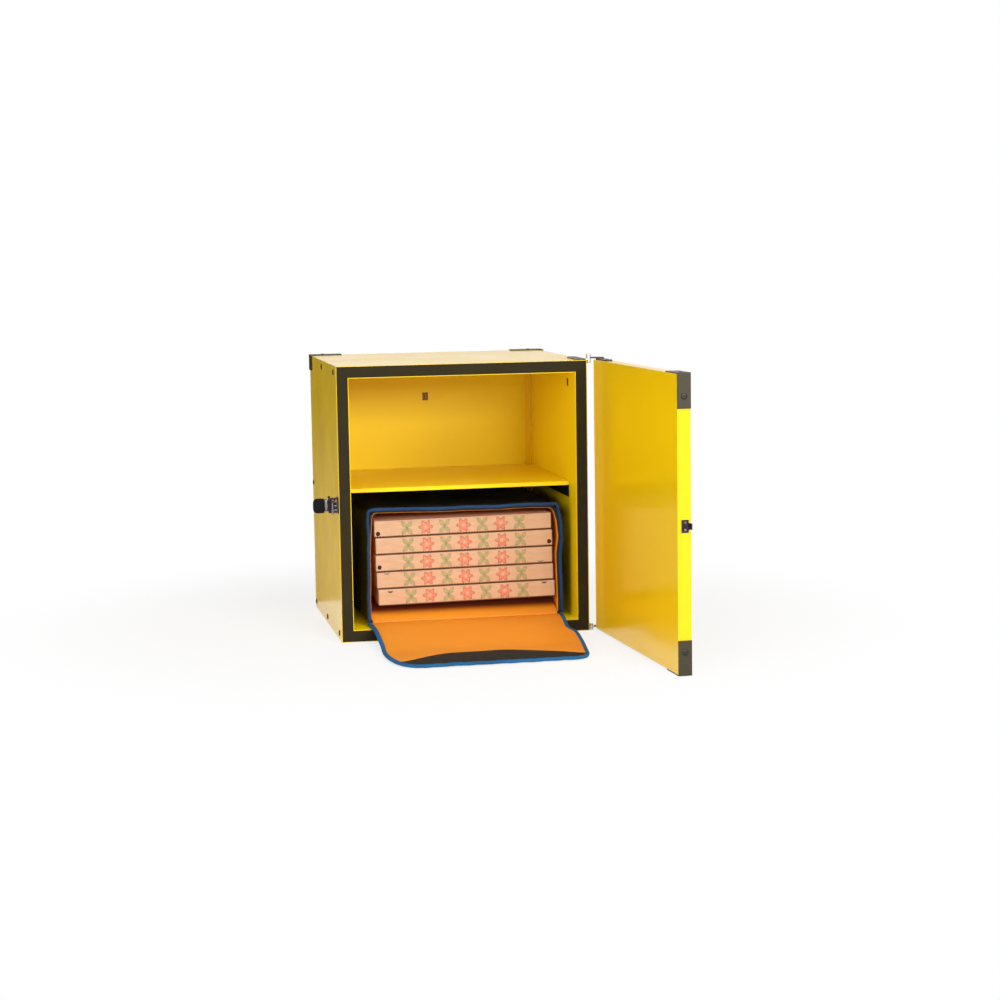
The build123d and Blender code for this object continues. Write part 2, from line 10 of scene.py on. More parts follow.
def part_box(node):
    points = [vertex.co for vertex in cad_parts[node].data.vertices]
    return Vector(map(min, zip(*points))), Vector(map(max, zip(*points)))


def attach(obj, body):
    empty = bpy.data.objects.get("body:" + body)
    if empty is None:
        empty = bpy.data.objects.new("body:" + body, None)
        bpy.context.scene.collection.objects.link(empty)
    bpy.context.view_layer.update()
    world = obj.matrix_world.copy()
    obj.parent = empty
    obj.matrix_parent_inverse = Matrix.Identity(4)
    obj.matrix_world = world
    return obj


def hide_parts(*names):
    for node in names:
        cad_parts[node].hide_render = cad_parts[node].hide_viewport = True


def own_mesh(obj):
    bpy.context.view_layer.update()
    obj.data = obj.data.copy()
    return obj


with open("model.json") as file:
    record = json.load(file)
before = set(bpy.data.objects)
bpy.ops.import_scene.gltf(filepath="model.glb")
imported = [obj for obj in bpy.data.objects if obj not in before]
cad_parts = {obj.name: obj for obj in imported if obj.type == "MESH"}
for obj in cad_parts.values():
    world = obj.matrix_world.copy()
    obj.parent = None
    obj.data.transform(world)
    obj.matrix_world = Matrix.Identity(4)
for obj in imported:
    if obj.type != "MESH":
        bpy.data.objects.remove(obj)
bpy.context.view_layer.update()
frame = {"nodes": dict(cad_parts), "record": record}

rng = np.random.default_rng(7)
scene = bpy.context.scene


# ---- small numeric helpers (all lengths are in metres) ----

def lerp(a, b, t):
    return a + (b - a) * t


def smooth(a, b, x):
    t = np.clip((np.asarray(x, float) - a) / (b - a), 0, 1)
    return t * t * (3 - 2 * t)


def table(points, x):
    """A line through (place, value) pairs, read at x."""
    px, py = zip(*points)
    return np.interp(x, px, py)


def srgb(r, g, b):
    """A colour given as 0 to 255 screen values, as the linear values that shaders take."""
    out = []
    for c in (r, g, b):
        c = c / 255
        out.append(c / 12.92 if c <= 0.04045 else ((c + 0.055) / 1.055) ** 2.4)
    return (*out, 1.0)


def spline(points, n):
    """A smooth run of n places through the given points."""
    p = np.array(points, float)
    q = np.vstack([2 * p[0] - p[1], p, 2 * p[-1] - p[-2]])
    seg = np.linspace(0, len(p) - 1, n)
    out = []
    for s in seg:
        i = min(int(s), len(p) - 2)
        t = s - i
        a, b, c, d = q[i], q[i + 1], q[i + 2], q[i + 3]
        out.append(0.5 * (2 * b + (c - a) * t + (2 * a - 5 * b + 4 * c - d) * t * t
                          + (3 * b - a - 3 * c + d) * t ** 3))
    return np.array(out)


def even(path, step):
    """The same path with places at an even spacing."""
    d = np.r_[0, np.cumsum(np.linalg.norm(np.diff(path, axis=0), axis=1))]
    n = max(2, int(round(d[-1] / step)) + 1)
    at = np.linspace(0, d[-1], n)
    return np.stack([np.interp(at, d, path[:, k]) for k in range(3)], axis=1)


def waves(x, y, seeds, scale):
    """Soft irregular waves from a few sines, between about -1 and 1."""
    total = 0
    for k, s in enumerate(seeds):
        a = 1.7 * s
        turns = (x * cos(a) + y * sin(a)) / scale * (1 + 0.37 * k) + 2.1 * s
        total = total + np.sin(2 * pi * turns)
    return total / len(seeds)


# ---- node helpers ----

FINE = 0.0003        # relief of grain, weave and scratches


class Tree:
    """A material under construction, with short calls for the nodes it uses."""

    def __init__(self, name):
        self.mat = bpy.data.materials.new(name)
        self.mat.use_nodes = True
        self.nt = self.mat.node_tree
        self.nt.nodes.clear()
        self.out = self.nt.nodes.new("ShaderNodeOutputMaterial")
        self.bsdf = self.nt.nodes.new("ShaderNodeBsdfPrincipled")
        self.nt.links.new(self.bsdf.outputs[0], self.out.inputs[0])
        self.coord = self.nt.nodes.new("ShaderNodeTexCoord").outputs["Object"]

    def put(self, socket, value):
        if isinstance(value, bpy.types.NodeSocket):
            self.nt.links.new(value, socket)
        else:
            socket.default_value = value

    def set(self, **values):
        for key, value in values.items():
            self.put(self.bsdf.inputs[key.replace("_", " ")], value)

    def math(self, op, a, b=0.0, c=0.0):
        n = self.nt.nodes.new("ShaderNodeMath")
        n.operation = op
        for socket, value in zip(n.inputs, (a, b, c)):
            self.put(socket, value)
        return n.outputs[0]

    def split(self, vector):
        n = self.nt.nodes.new("ShaderNodeSeparateXYZ")
        self.put(n.inputs[0], vector)
        return n.outputs

    def scaled(self, size):
        n = self.nt.nodes.new("ShaderNodeMapping")
        self.put(n.inputs["Vector"], self.coord)
        n.inputs["Scale"].default_value = size
        return n.outputs[0]

    def noise(self, scale, detail=4, rough=0.55, vector=None, distort=0.0):
        n = self.nt.nodes.new("ShaderNodeTexNoise")
        self.put(n.inputs["Vector"], vector or self.coord)
        n.inputs["Scale"].default_value = scale
        n.inputs["Detail"].default_value = detail
        n.inputs["Roughness"].default_value = rough
        n.inputs["Distortion"].default_value = distort
        return n.outputs["Fac"]

    def wave(self, scale, direction, distort=0.0):
        n = self.nt.nodes.new("ShaderNodeTexWave")
        n.wave_type = "BANDS"
        n.bands_direction = direction
        self.put(n.inputs["Vector"], self.coord)
        n.inputs["Scale"].default_value = scale
        n.inputs["Distortion"].default_value = distort
        n.inputs["Detail"].default_value = 1.0
        return n.outputs["Fac"]

    def ramp(self, value, low, high, a=0.0, b=1.0):
        n = self.nt.nodes.new("ShaderNodeMapRange")
        n.interpolation_type = "SMOOTHSTEP"
        self.put(n.inputs["Value"], value)
        n.inputs["From Min"].default_value = low
        n.inputs["From Max"].default_value = high
        n.inputs["To Min"].default_value = a
        n.inputs["To Max"].default_value = b
        return n.outputs[0]

    def mix(self, fac, a, b):
        n = self.nt.nodes.new("ShaderNodeMix")
        n.data_type = "RGBA"
        self.put(n.inputs["Factor"], fac)
        self.put(n.inputs[6], a)
        self.put(n.inputs[7], b)
        return n.outputs[2]

    def edge(self, radius=0.0012):
        """1 near the body's edges and 0 on its faces, and the rounded edge as the surface's normal."""
        n = self.nt.nodes.new("ShaderNodeBevel")
        n.samples = 4
        n.inputs["Radius"].default_value = radius
        dot = self.nt.nodes.new("ShaderNodeVectorMath")
        dot.operation = "DOT_PRODUCT"
        self.put(dot.inputs[0], n.outputs[0])
        self.put(dot.inputs[1], self.normal())
        self.put(self.bsdf.inputs["Normal"], n.outputs[0])
        return self.ramp(dot.outputs["Value"], 0.995, 0.86)

    def normal(self):
        return self.nt.nodes.new("ShaderNodeNewGeometry").outputs["Normal"]

    def bump(self, height, strength, distance):
        n = self.nt.nodes.new("ShaderNodeBump")
        n.inputs["Strength"].default_value = strength
        n.inputs["Distance"].default_value = distance
        self.put(n.inputs["Height"], height)
        last = self.bsdf.inputs["Normal"]
        if last.is_linked:
            self.put(n.inputs["Normal"], last.links[0].from_socket)
        self.put(last, n.outputs[0])


def painted(name, main, deep, rough, wear, spec, peel=0.05, scuff=0.12, radius=0.0012):
    """Powder coat: fine orange peel, faint cloudy tone, soft scuffs and, with a radius, worn edges."""
    t = Tree(name)
    cloud = t.ramp(t.noise(5, 3), 0.3, 0.75)
    colour = t.mix(t.math("MULTIPLY", cloud, 0.35), main, deep)
    scuffs = t.ramp(t.noise(60, 6, 0.7, t.scaled((1, 1, 0.12)), 0.3), 0.66, 0.78)
    speck = t.ramp(t.noise(260, 5, 0.7), 0.42, 0.62, 0.0, 0.7)
    if radius:
        colour = t.mix(t.math("MULTIPLY", t.edge(radius), speck), colour, wear)
    t.set(Base_Color=colour, Roughness=t.math("MULTIPLY_ADD", scuffs, scuff,
          t.ramp(t.noise(9, 2), 0.3, 0.7, rough - 0.03, rough + 0.04)),
          Specular_IOR_Level=spec)
    if peel:
        t.bump(t.noise(520, 2), peel, 0.0006)
    return t.mat


def metal(name, main, deep, rough, grain, metallic=1.0, wear=None):
    """Rolled or plated metal with a grain, handling marks and bright or dull edges."""
    t = Tree(name)
    lines = t.noise(400, 5, 0.7, t.scaled(grain))
    marks = t.ramp(t.noise(35, 5, 0.65), 0.45, 0.7)
    colour = t.mix(t.math("MULTIPLY", marks, 0.6), main, deep)
    if wear:
        colour = t.mix(t.math("MULTIPLY", t.edge(0.0005), t.ramp(t.noise(300), 0.3, 0.6)), colour, wear)
    t.set(Base_Color=colour, Metallic=metallic,
          Roughness=t.ramp(lines, 0.25, 0.75, rough - 0.07, rough + 0.1))
    t.bump(lines, 0.08, FINE)
    return t.mat


def rubber(name, main, pale, rough, spec=0.3):
    """A dull moulded or foamed surface with a fine grain and a little dust."""
    t = Tree(name)
    dust = t.ramp(t.noise(22, 6, 0.65), 0.45, 0.8)
    grain = t.noise(900, 3)
    t.set(Base_Color=t.mix(t.math("MULTIPLY", dust, 0.5), main, pale),
          Roughness=t.ramp(grain, 0.3, 0.7, rough - 0.06, rough + 0.08), Specular_IOR_Level=spec)
    t.bump(grain, 0.25, FINE)
    return t.mat


def cloth(name, main, deep, thread, rough, strength, soil=0.25, axes=("X", "Z"), shade_band=None):
    """Plain weave: two crossing threads, an uneven tone and, where asked, painted shade from one height up to
    another.
    """
    t = Tree(name)
    a = t.wave(thread, axes[0], distort=0.4)
    b = t.wave(thread, axes[1], distort=0.4)
    weave = t.math("MULTIPLY", a, b)
    tone = t.ramp(t.noise(14, 5, 0.6), 0.35, 0.75)
    colour = t.mix(t.math("MULTIPLY", tone, soil), main, deep)
    colour = t.mix(t.ramp(weave, 0.0, 0.5, 0.3, 0.0), colour, deep)
    # painted shade: darker from one height up to another
    if shade_band:
        colour = t.mix(t.ramp(t.split(t.coord)[2], shade_band[0], shade_band[1]), colour, shade_band[2])
    t.set(Base_Color=colour, Roughness=t.ramp(weave, 0, 1, rough + 0.08, rough - 0.05))
    t.bump(weave, strength, FINE)
    t.bump(t.noise(45, 4), 0.15, 0.001)
    return t.mat


LINING_DYES = (srgb(240, 151, 34), srgb(234, 139, 24))
bag_cloth = cloth("nylon_black", srgb(14, 14, 16), srgb(6, 6, 8), 700, 0.42, 0.5)
lining_cloth = cloth("lining_orange", *LINING_DYES, 900, 0.5, 0.25, axes=("X", "Y"))
# The pad's lining is painted darker from 38.5 to 46.5 mm up, as painted shade under the cartons' front edge
pad_cloth = cloth("lining_pad", *LINING_DYES, 900, 0.5, 0.25, axes=("X", "Y"),
                  shade_band=(0.0385, 0.0465, srgb(96, 36, 10)))
blue_binding = cloth("tape_blue", srgb(2, 106, 158), srgb(2, 66, 118), 480, 0.7, 0.8, 0.7)
# The same blue tape in a darker copy, as painted shade for the mouth's binding
shaded_binding = cloth("tape_blue_shaded", srgb(8, 70, 124), srgb(5, 42, 84), 480, 0.7, 0.8, 0.7)
closure_tape = cloth("loop_tape", srgb(20, 15, 11), srgb(12, 9, 7), 1100, 0.9, 0.9)
black_paint = painted("black_paint", srgb(40, 35, 32), srgb(28, 25, 24), 0.35, srgb(110, 104, 98), 0.35)
# The box's yellow paint in a paler, greener copy for the inside, as painted light against the orange cast of
# bounce light
bounce_offset_paint = painted("paint_inside_offset_for_bounce", srgb(252, 220, 18), srgb(248, 212, 16), 0.36, srgb(252, 222, 80), 0.2,
                      peel=0.0, scuff=0.02, radius=0.0)
dark_steel = metal("plum_steel", srgb(56, 38, 54), srgb(30, 20, 30), 0.3, (1, 1, 0.1), 0.6,
                   srgb(150, 132, 146))
bright_steel = metal("worn_plate", srgb(134, 130, 129), srgb(84, 80, 81), 0.38, (1, 1, 0.2))
grip_rubber = rubber("rubber_grip", srgb(9, 7, 9), srgb(20, 17, 20), 0.42, 0.14)
# A dull dark board used as painted shade in a carton's gaps, hole and cuts
hole_and_gap_shade = rubber("board_shadow", srgb(66, 38, 24), srgb(80, 50, 34), 0.9)

HINGE_X, HINGE_Y = 0.235, -0.197
KNUCKLE_EDGE = (0.0064, 0.0058)


def hinge_finish():
    """Dark painted leaves whose rolled knuckles, near the pin's line, are bare zinc."""
    t = Tree("hinge_leaf")
    x, y = t.split(t.coord)[:2]
    dx, dy = t.math("SUBTRACT", x, HINGE_X), t.math("SUBTRACT", y, HINGE_Y)
    away = t.math("SQRT", t.math("ADD", t.math("MULTIPLY", dx, dx), t.math("MULTIPLY", dy, dy)))
    bare = t.ramp(away, *KNUCKLE_EDGE)
    scratch = t.ramp(t.noise(240, 6, 0.7), 0.45, 0.68)
    dark = t.mix(t.math("MULTIPLY", t.edge(0.0006), scratch), srgb(46, 40, 34), srgb(150, 140, 120))
    t.set(Base_Color=t.mix(bare, dark, srgb(212, 208, 198)), Metallic=bare,
          Roughness=t.ramp(t.noise(300, 3), 0.3, 0.7, 0.3, 0.42))
    t.bump(scratch, 0.1, FINE)
    return t.mat


def vent_finish():
    """A small moulded louvre: upright bars with the slots between them painted dark as shade."""
    t = Tree("vent_louvre")
    x, y = t.split(t.coord)[:2]
    half_pitch = 0.0029
    bars = t.math("ABSOLUTE", t.math("WRAP", t.math("ADD", x, y), half_pitch, -half_pitch))
    # painted shade in the slots
    slot = t.ramp(bars, 0.0013, 0.0018)
    t.set(Base_Color=t.mix(slot, srgb(56, 26, 8), srgb(176, 116, 30)), Roughness=t.ramp(slot, 0, 1, 0.8, 0.4))
    t.bump(slot, 0.6, 0.0012)
    return t.mat


def motif_board():
    """Pink-kraft board with fibres and flutes, and a faded generic border print on its front."""
    t = Tree("board_printed")
    x, _, z = t.split(t.coord)
    fibre = t.noise(180, 6, 0.7, t.scaled((0.2, 1, 1)))
    board = t.mix(t.ramp(fibre, 0.3, 0.75, 0, 0.6), srgb(214, 172, 138), srgb(196, 150, 116))
    board = t.mix(t.ramp(t.noise(16, 4), 0.45, 0.8, 0, 0.4), board, srgb(222, 183, 150))
    pitch, print_half, leaf_turn = 0.070, 0.123, 0.9
    leaf_root, leaf_half_len, leaf_half_wide = 0.0080, 0.0074, 0.0033
    rule_wave, rule_swing, rule_z = 0.0155, 0.0008, 0.0126
    within = t.math("LESS_THAN", t.math("ABSOLUTE", x), print_half)
    ink = t.ramp(t.noise(240, 4, 0.7), 0.32, 0.55, 0.45, 1.0)
    # rosettes
    dx = t.math("WRAP", x, pitch / 2, -pitch / 2)
    rad = t.math("SQRT", t.math("ADD", t.math("MULTIPLY", dx, dx), t.math("MULTIPLY", z, z)))
    turn = t.math("ARCTAN2", z, dx)
    petal = t.math("MULTIPLY_ADD", t.math("COSINE", t.math("MULTIPLY", turn, 6)), 0.0026, 0.0102)
    inside = t.ramp(t.math("SUBTRACT", petal, rad), -0.0003, 0.0004)
    heart = t.ramp(rad, 0.0028, 0.0036)
    rim = t.ramp(t.math("ABSOLUTE", t.math("SUBTRACT", petal, rad)), 0.0004, 0.0009, 1, 0)
    rose = t.math("MULTIPLY", t.math("MULTIPLY", inside, heart), 0.72)
    # pairs of leaves between them
    lx = t.math("WRAP", t.math("ADD", x, pitch / 2), pitch / 2, -pitch / 2)
    ax, az = t.math("ABSOLUTE", lx), t.math("ABSOLUTE", z)
    across, along = cos(leaf_turn), sin(leaf_turn)
    u = t.math("ADD", t.math("MULTIPLY", ax, across), t.math("MULTIPLY", az, along))
    v = t.math("SUBTRACT", t.math("MULTIPLY", az, across), t.math("MULTIPLY", ax, along))
    span = t.math("DIVIDE", t.math("SUBTRACT", u, leaf_root), leaf_half_len)
    width = t.math("MULTIPLY", t.math("SUBTRACT", 1.0, t.math("MULTIPLY", span, span)), leaf_half_wide)
    off = t.math("SUBTRACT", width, t.math("ABSOLUTE", v))
    leaf = t.ramp(off, -0.0002, 0.0004)
    line = t.ramp(t.math("ABSOLUTE", off), 0.0002, 0.0007, 1, 0)
    vein = t.math("MULTIPLY", t.ramp(t.math("ABSOLUTE", v), 0.0001, 0.0005, 1, 0), leaf)
    # two fine wavy rules
    swing = t.math("MULTIPLY", t.math("SINE", t.math("MULTIPLY", x, 2 * pi / rule_wave)), rule_swing)
    rule = t.math("SUBTRACT", t.math("ABSOLUTE", t.math("ADD", z, swing)), rule_z)
    rule = t.ramp(t.math("ABSOLUTE", rule), 0.0002, 0.0006, 1, 0)
    facing = t.math("GREATER_THAN", t.math("MULTIPLY", t.split(t.normal())[1], -1.0), 0.8)
    shown = t.math("MULTIPLY", t.math("MULTIPLY", within, facing), ink)

    def lay(under, mask, share, colour):
        return t.mix(t.math("MULTIPLY", t.math("MULTIPLY", mask, shown), share), under, colour)

    board = lay(board, rose, 0.95, srgb(222, 98, 74))
    board = lay(board, rim, 0.95, srgb(146, 58, 34))
    board = lay(board, leaf, 0.75, srgb(160, 166, 104))
    board = lay(board, line, 0.9, srgb(104, 112, 64))
    board = lay(board, vein, 0.9, srgb(104, 112, 64))
    board = lay(board, rule, 0.6, srgb(196, 98, 66))
    t.set(Base_Color=board, Roughness=0.78)
    t.bump(fibre, 0.3, FINE)
    t.bump(t.wave(210, "X"), 0.12, 0.0004)
    return t.mat


carton_board = motif_board()
hinge_leaf = hinge_finish()
by_slot = {
    "yellow_paint": painted("paint_yellow", srgb(252, 208, 12), srgb(248, 200, 12), 0.2,
                            srgb(252, 222, 80), 0.3),
    "foam": rubber("foam_core", srgb(232, 220, 190), srgb(215, 200, 165), 0.9),
    "seal_rubber": rubber("rubber_seal", srgb(46, 39, 22), srgb(56, 48, 30), 0.7, 0.12),
    "guard_steel": painted("guard_paint", srgb(64, 58, 40), srgb(56, 50, 35), 0.4, srgb(130, 120, 100), 0.25),
    "black_steel": black_paint,
    "dark_steel": dark_steel,
    "plated_steel": metal("zinc_plate", srgb(214, 214, 210), srgb(170, 170, 168), 0.27, (1, 1, 0.2)),
    "grip_rubber": grip_rubber,
    "bag_cloth": bag_cloth,
    "lining_cloth": lining_cloth,
    "blue_binding": blue_binding,
    "closure_tape": closure_tape,
    "carton_board": carton_board,
}
by_name = {"latch_bail": bright_steel, "latch_pin": dark_steel, "shelf_tray": bounce_offset_paint,
           "vents": vent_finish()}

# Hard parts keep their own shape and take these finishes
slot_of = {part["node"]: part["material_slot"] for part in frame["record"]["subparts"]}
for name, node in frame["nodes"].items():
    if name in by_name:
        finish = by_name[name]
    # The inside takes the paler copy of the yellow paint, as painted light
    elif name.startswith("liner_"):
        finish = bounce_offset_paint
    elif "hinge" in name and "pins" not in name:
        finish = hinge_leaf
    else:
        finish = by_slot[slot_of[name]]
    node.data.materials.clear()
    node.data.materials.append(finish)


# ---- mesh helpers ----

def faces_of(rows, cols, start=0, closed=False, flip=False):
    """Quads over a grid of rows by cols vertices."""
    out = []
    last = cols if closed else cols - 1
    for r in range(rows - 1):
        for c in range(last):
            d = (c + 1) % cols
            q = (start + r * cols + c, start + r * cols + d,
                 start + (r + 1) * cols + d, start + (r + 1) * cols + c)
            out.append(q[::-1] if flip else q)
    return out


def make(name, verts, faces, material, body=None, slot=None, replaces=()):
    """A smooth-shaded piece, with its body and the nodes that it stands for; slot is not used."""
    mesh = bpy.data.meshes.new(name)
    mesh.from_pydata([tuple(v) for v in verts], [], faces)
    mesh.validate()
    bm = bmesh.new()
    bm.from_mesh(mesh)
    bmesh.ops.recalc_face_normals(bm, faces=bm.faces)
    bm.to_mesh(mesh)
    bm.free()
    mesh.materials.append(material)
    mesh.shade_smooth()
    piece = bpy.data.objects.new(name, mesh)
    scene.collection.objects.link(piece)
    if body:
        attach(piece, body)
    if replaces:
        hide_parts(*replaces)
    return piece


def slab(p, q, cup=False):
    """A thin body between two grids of the same size, with its rims closed. A cup's rows are closed rings."""
    rows, cols = p.shape[:2]
    n = rows * cols
    verts = np.vstack([p.reshape(-1, 3), q.reshape(-1, 3)])
    faces = faces_of(rows, cols, 0, cup) + faces_of(rows, cols, n, cup, True)
    ends = [0] if cup else [0, rows - 1]
    last = cols if cup else cols - 1
    for r in ends:
        for c in range(last):
            d = (c + 1) % cols
            a, b = r * cols + c, r * cols + d
            faces.append((a, b, n + b, n + a))
    if cup:
        faces.append(tuple(range((rows - 1) * cols, rows * cols)))
        faces.append(tuple(range(n + (rows - 1) * cols, n + rows * cols)))
    else:
        for c in (0, cols - 1):
            for r in range(rows - 1):
                a, b = r * cols + c, (r + 1) * cols + c
                faces.append((a, b, n + b, n + a))
    return verts, faces


def sweep(path, up, half_w, half_h, power, sides=14, pucker=0.05):
    """A padded tape along a path: a rounded section half_w across and half_h along up, a little uneven."""
    n = len(path)
    tangent = np.gradient(path, axis=0)
    tangent /= np.linalg.norm(tangent, axis=1, keepdims=True)
    up = np.broadcast_to(np.array(up, float), (n, 3))
    side = np.cross(tangent, up)
    side /= np.linalg.norm(side, axis=1, keepdims=True)
    rise = np.cross(side, tangent)
    hw = np.broadcast_to(half_w, (n,)) * (1 + pucker * rng.uniform(-1, 1, n))
    hh = np.broadcast_to(half_h, (n,)) * (1 + pucker * rng.uniform(-1, 1, n))
    ang = np.arange(sides) * 2 * pi / sides
    ca, sa = np.cos(ang), np.sin(ang)
    ex = np.sign(ca) * np.abs(ca) ** (2 / power)
    ez = np.sign(sa) * np.abs(sa) ** (2 / power)
    ring = (path[:, None] + side[:, None] * (hw[:, None] * ex)[..., None]
            + rise[:, None] * (hh[:, None] * ez)[..., None])
    faces = faces_of(n, sides, 0, True)
    faces += [tuple(range(sides)), tuple(range((n - 1) * sides, n * sides))]
    return ring.reshape(-1, 3), faces


def stitches(path, up, pitch, length, radius):
    """A row of short threads lying along a path."""
    line = even(path, pitch / 2)
    verts, faces = [], []
    for k in range(0, len(line) - 1, 2):
        a, b = line[k], line[k + 1]
        d = (b - a) / np.linalg.norm(b - a)
        mid, h = (a + b) / 2, length / 2
        w = np.cross(d, up)
        w /= np.linalg.norm(w)
        u = np.cross(w, d)
        i = len(verts)
        verts += [mid - d * h, mid + d * h]
        for s, v in ((1, 0), (0, 1), (-1, 0), (0, -1)):
            verts.append(mid - d * h * 0.6 + (w * s + u * v) * radius)
            verts.append(mid + d * h * 0.6 + (w * s + u * v) * radius)
        for s in range(4):
            j = i + 2 + 2 * s
            m = i + 2 + 2 * ((s + 1) % 4)
            faces += [(i, m, j), (j, m, m + 1, j + 1), (i + 1, j + 1, m + 1)]
    return verts, faces


def rounded(lo, hi, r, cell, shape=None):
    """A block with rounded edges, as a grid skin that shape() may move."""
    lo, hi = np.array(lo, float), np.array(hi, float)
    counts = [max(3, int(round((hi[k] - lo[k]) / cell[k]))) for k in range(3)]
    ticks = []
    for k in range(3):
        core = np.linspace(lo[k] + r, hi[k] - r, counts[k])
        ends = r * (1 - np.cos(np.linspace(0, pi / 2, 4)[:-1]))
        ticks.append(np.r_[lo[k] + ends[0:3], core, hi[k] - ends[0:3][::-1]])
    index, verts, faces = {}, [], []

    def vertex(key):
        if key not in index:
            index[key] = len(verts)
            verts.append([ticks[k][key[k]] for k in range(3)])
        return index[key]

    for axis in range(3):
        a, b = [k for k in range(3) if k != axis]
        for end in (0, len(ticks[axis]) - 1):
            for i in range(len(ticks[a]) - 1):
                for j in range(len(ticks[b]) - 1):
                    quad = []
                    for di, dj in ((0, 0), (1, 0), (1, 1), (0, 1)):
                        key = [0, 0, 0]
                        key[axis], key[a], key[b] = end, i + di, j + dj
                        quad.append(vertex(tuple(key)))
                    faces.append(tuple(quad))
    v = np.array(verts)
    inner = np.clip(v, lo + r, hi - r)
    d = v - inner
    length = np.linalg.norm(d, axis=1, keepdims=True)
    v = np.where(length > 1e-9, inner + d / np.maximum(length, 1e-9) * r, v)
    if shape:
        v = shape(v)
    return v, faces


def joined(*parts):
    """Several (verts, faces) pairs as one."""
    verts, faces = [], []
    for v, f in parts:
        start = len(verts)
        verts += [tuple(p) for p in v]
        faces += [tuple(start + i for i in face) for face in f]
    return verts, faces


# ---- bag ----

BAG_Y0, BAG_Y1 = -0.166, 0.177       # mouth and back
BAG_W, BAG_H, FLOOR_Z = 0.361, 0.2135, 0.0226
BACK_R = 0.014
SHELL = 0.0036
LINING_DEPTHS, LINING_SETBACK = (0.0040, 0.0049), 0.0030
# Mouth's left and right sides as (height, x), its top as (x, height), and how far the top sags at the rim
LEFT = [(0.022, -0.1765), (0.07, -0.1775), (0.10, -0.1762), (0.165, -0.1757), (0.196, -0.174), (0.24, -0.171)]
RIGHT = [(0.022, 0.1850), (0.05, 0.1850), (0.098, 0.1835), (0.14, 0.1825), (0.172, 0.1868), (0.204, 0.1840),
         (0.225, 0.1795), (0.24, 0.1750)]
TOP = [(-0.18, 0.2345), (-0.1, 0.2365), (0.0, 0.236), (0.06, 0.2350), (0.126, 0.2357), (0.19, 0.2372)]
DIP = [(-0.158, 0.0), (-0.11, 0.0018), (-0.05, 0.0034), (-0.02, 0.0034), (0.01, 0.0024), (0.07, 0.0028),
       (0.10, 0.0018), (0.125, 0.0018), (0.145, 0.0030), (0.165, 0.0040)]


def ring(corner, side_steps=18, top_steps=26):
    """Places round a rounded rectangle of the bag's width and height, about its middle."""
    def on_arc(arc, a):
        sx, sz = arc[:2]
        return (sx * (BAG_W / 2 - corner) + corner * cos(radians(a)),
                sz * (BAG_H / 2 - corner) + corner * sin(radians(a)))

    pts = []
    arcs = [(1, -1, -90), (1, 1, 0), (-1, 1, 90), (-1, -1, 180)]
    for i, arc in enumerate(arcs):
        pts += [on_arc(arc, arc[2] + 90 * k / 5) for k in range(6)]
        n = top_steps if i % 2 else side_steps
        after = arcs[(i + 1) % 4]
        start, end = pts[-1], on_arc(after, after[2])
        pts += [(lerp(start[0], end[0], k / n), lerp(start[1], end[1], k / n)) for k in range(1, n)]
    return np.array(pts)


def bag_ring(v, inset):
    """The bag's outline at a share v of its depth, drawn in by inset: loose at the mouth, calm further in."""
    corner = lerp(0.012, 0.022, float(smooth(0, 0.3, v))) - inset * 0.6
    p = ring(corner)
    x = p[:, 0] / (BAG_W / 2)
    z = p[:, 1] / (BAG_H / 2)
    up = (z + 1) / 2
    calm = float(smooth(0.0, 0.35, v))
    zz = FLOOR_Z + up * BAG_H
    left = lerp(table(LEFT, zz), -0.1785 - 0.002 * np.sin(pi * up), calm)
    right = lerp(table(RIGHT, zz), 0.1860 + 0.002 * np.sin(pi * up), calm)
    mid, half = (left + right) / 2, (right - left) / 2
    xx = mid + x * (half - inset)
    top = lerp(table(TOP, xx), 0.2385 - 0.0065 * np.cos(x * pi / 2) ** 0.8 * sin(pi * min(1, v * 1.15)), calm)
    zz = lerp(FLOOR_Z + inset, top - inset, up)
    rim = 1 - float(smooth(0.0, 0.10, v))
    xx = xx + rim * (0.0010 - 0.0012 * x)
    zz = zz - rim * smooth(0.8, 1.0, up) * (0.0015 + table(DIP, xx))
    return xx, zz


def bag_cup(inset, y0, y1):
    """The bag as a cup: rings from the mouth to the back, then closing over the back panel."""
    rows = []
    for v in np.linspace(0, 1, 34) ** 0.85:
        xx, zz = bag_ring(v, inset)
        y = np.full_like(xx, lerp(y0, y1 - BACK_R, v))
        rows.append(np.stack([xx, y, zz], axis=1))
    base = rows[-1]
    mid = base.mean(axis=0)
    for a in (20, 40, 60, 80, 90):
        shrink = 0.012 * (1 - cos(radians(a)))
        size = np.array([1 - shrink / 0.18, 1, 1 - shrink / 0.108])
        q = mid + (base - mid) * size
        q[:, 1] = y1 - BACK_R + BACK_R * sin(radians(a))
        rows.append(q)
    outer = rows[-1].copy()
    for s in (0.86, 0.66, 0.45, 0.25, 0.1):
        q = mid + (outer - mid) * np.array([s, 1, s])
        q[:, 1] = y1 - 0.0015 * (1 - s)
        rows.append(q)
    return np.array(rows)


def creases(p):
    """Soft folds of the bag's cloth: waves along its top and sides, calm at the mouth and the back."""
    x, y, z = p[..., 0], p[..., 1], p[..., 2]
    top = smooth(0.222, 0.236, z)
    side = smooth(0.168, 0.180, np.abs(x - 0.004)) * (1 - top)
    mouth = smooth(BAG_Y0, -0.12, y) * (1 - smooth(0.15, BAG_Y1, y))
    folds = 0.5 * waves(x * 0.7, y, (1.0, 2.3, 3.1), 0.11) + 0.5 * waves(x, y * 0.4, (4.2, 5.7), 0.07)
    dz = top * mouth * (0.0026 * folds - 0.0014)
    buckle = waves(y, z * 1.3, (0.7, 1.9, 2.8), 0.10)
    dx = side * mouth * 0.0022 * buckle * np.sign(x)
    out = p.copy()
    out[..., 2] += dz
    out[..., 0] += dx
    return out


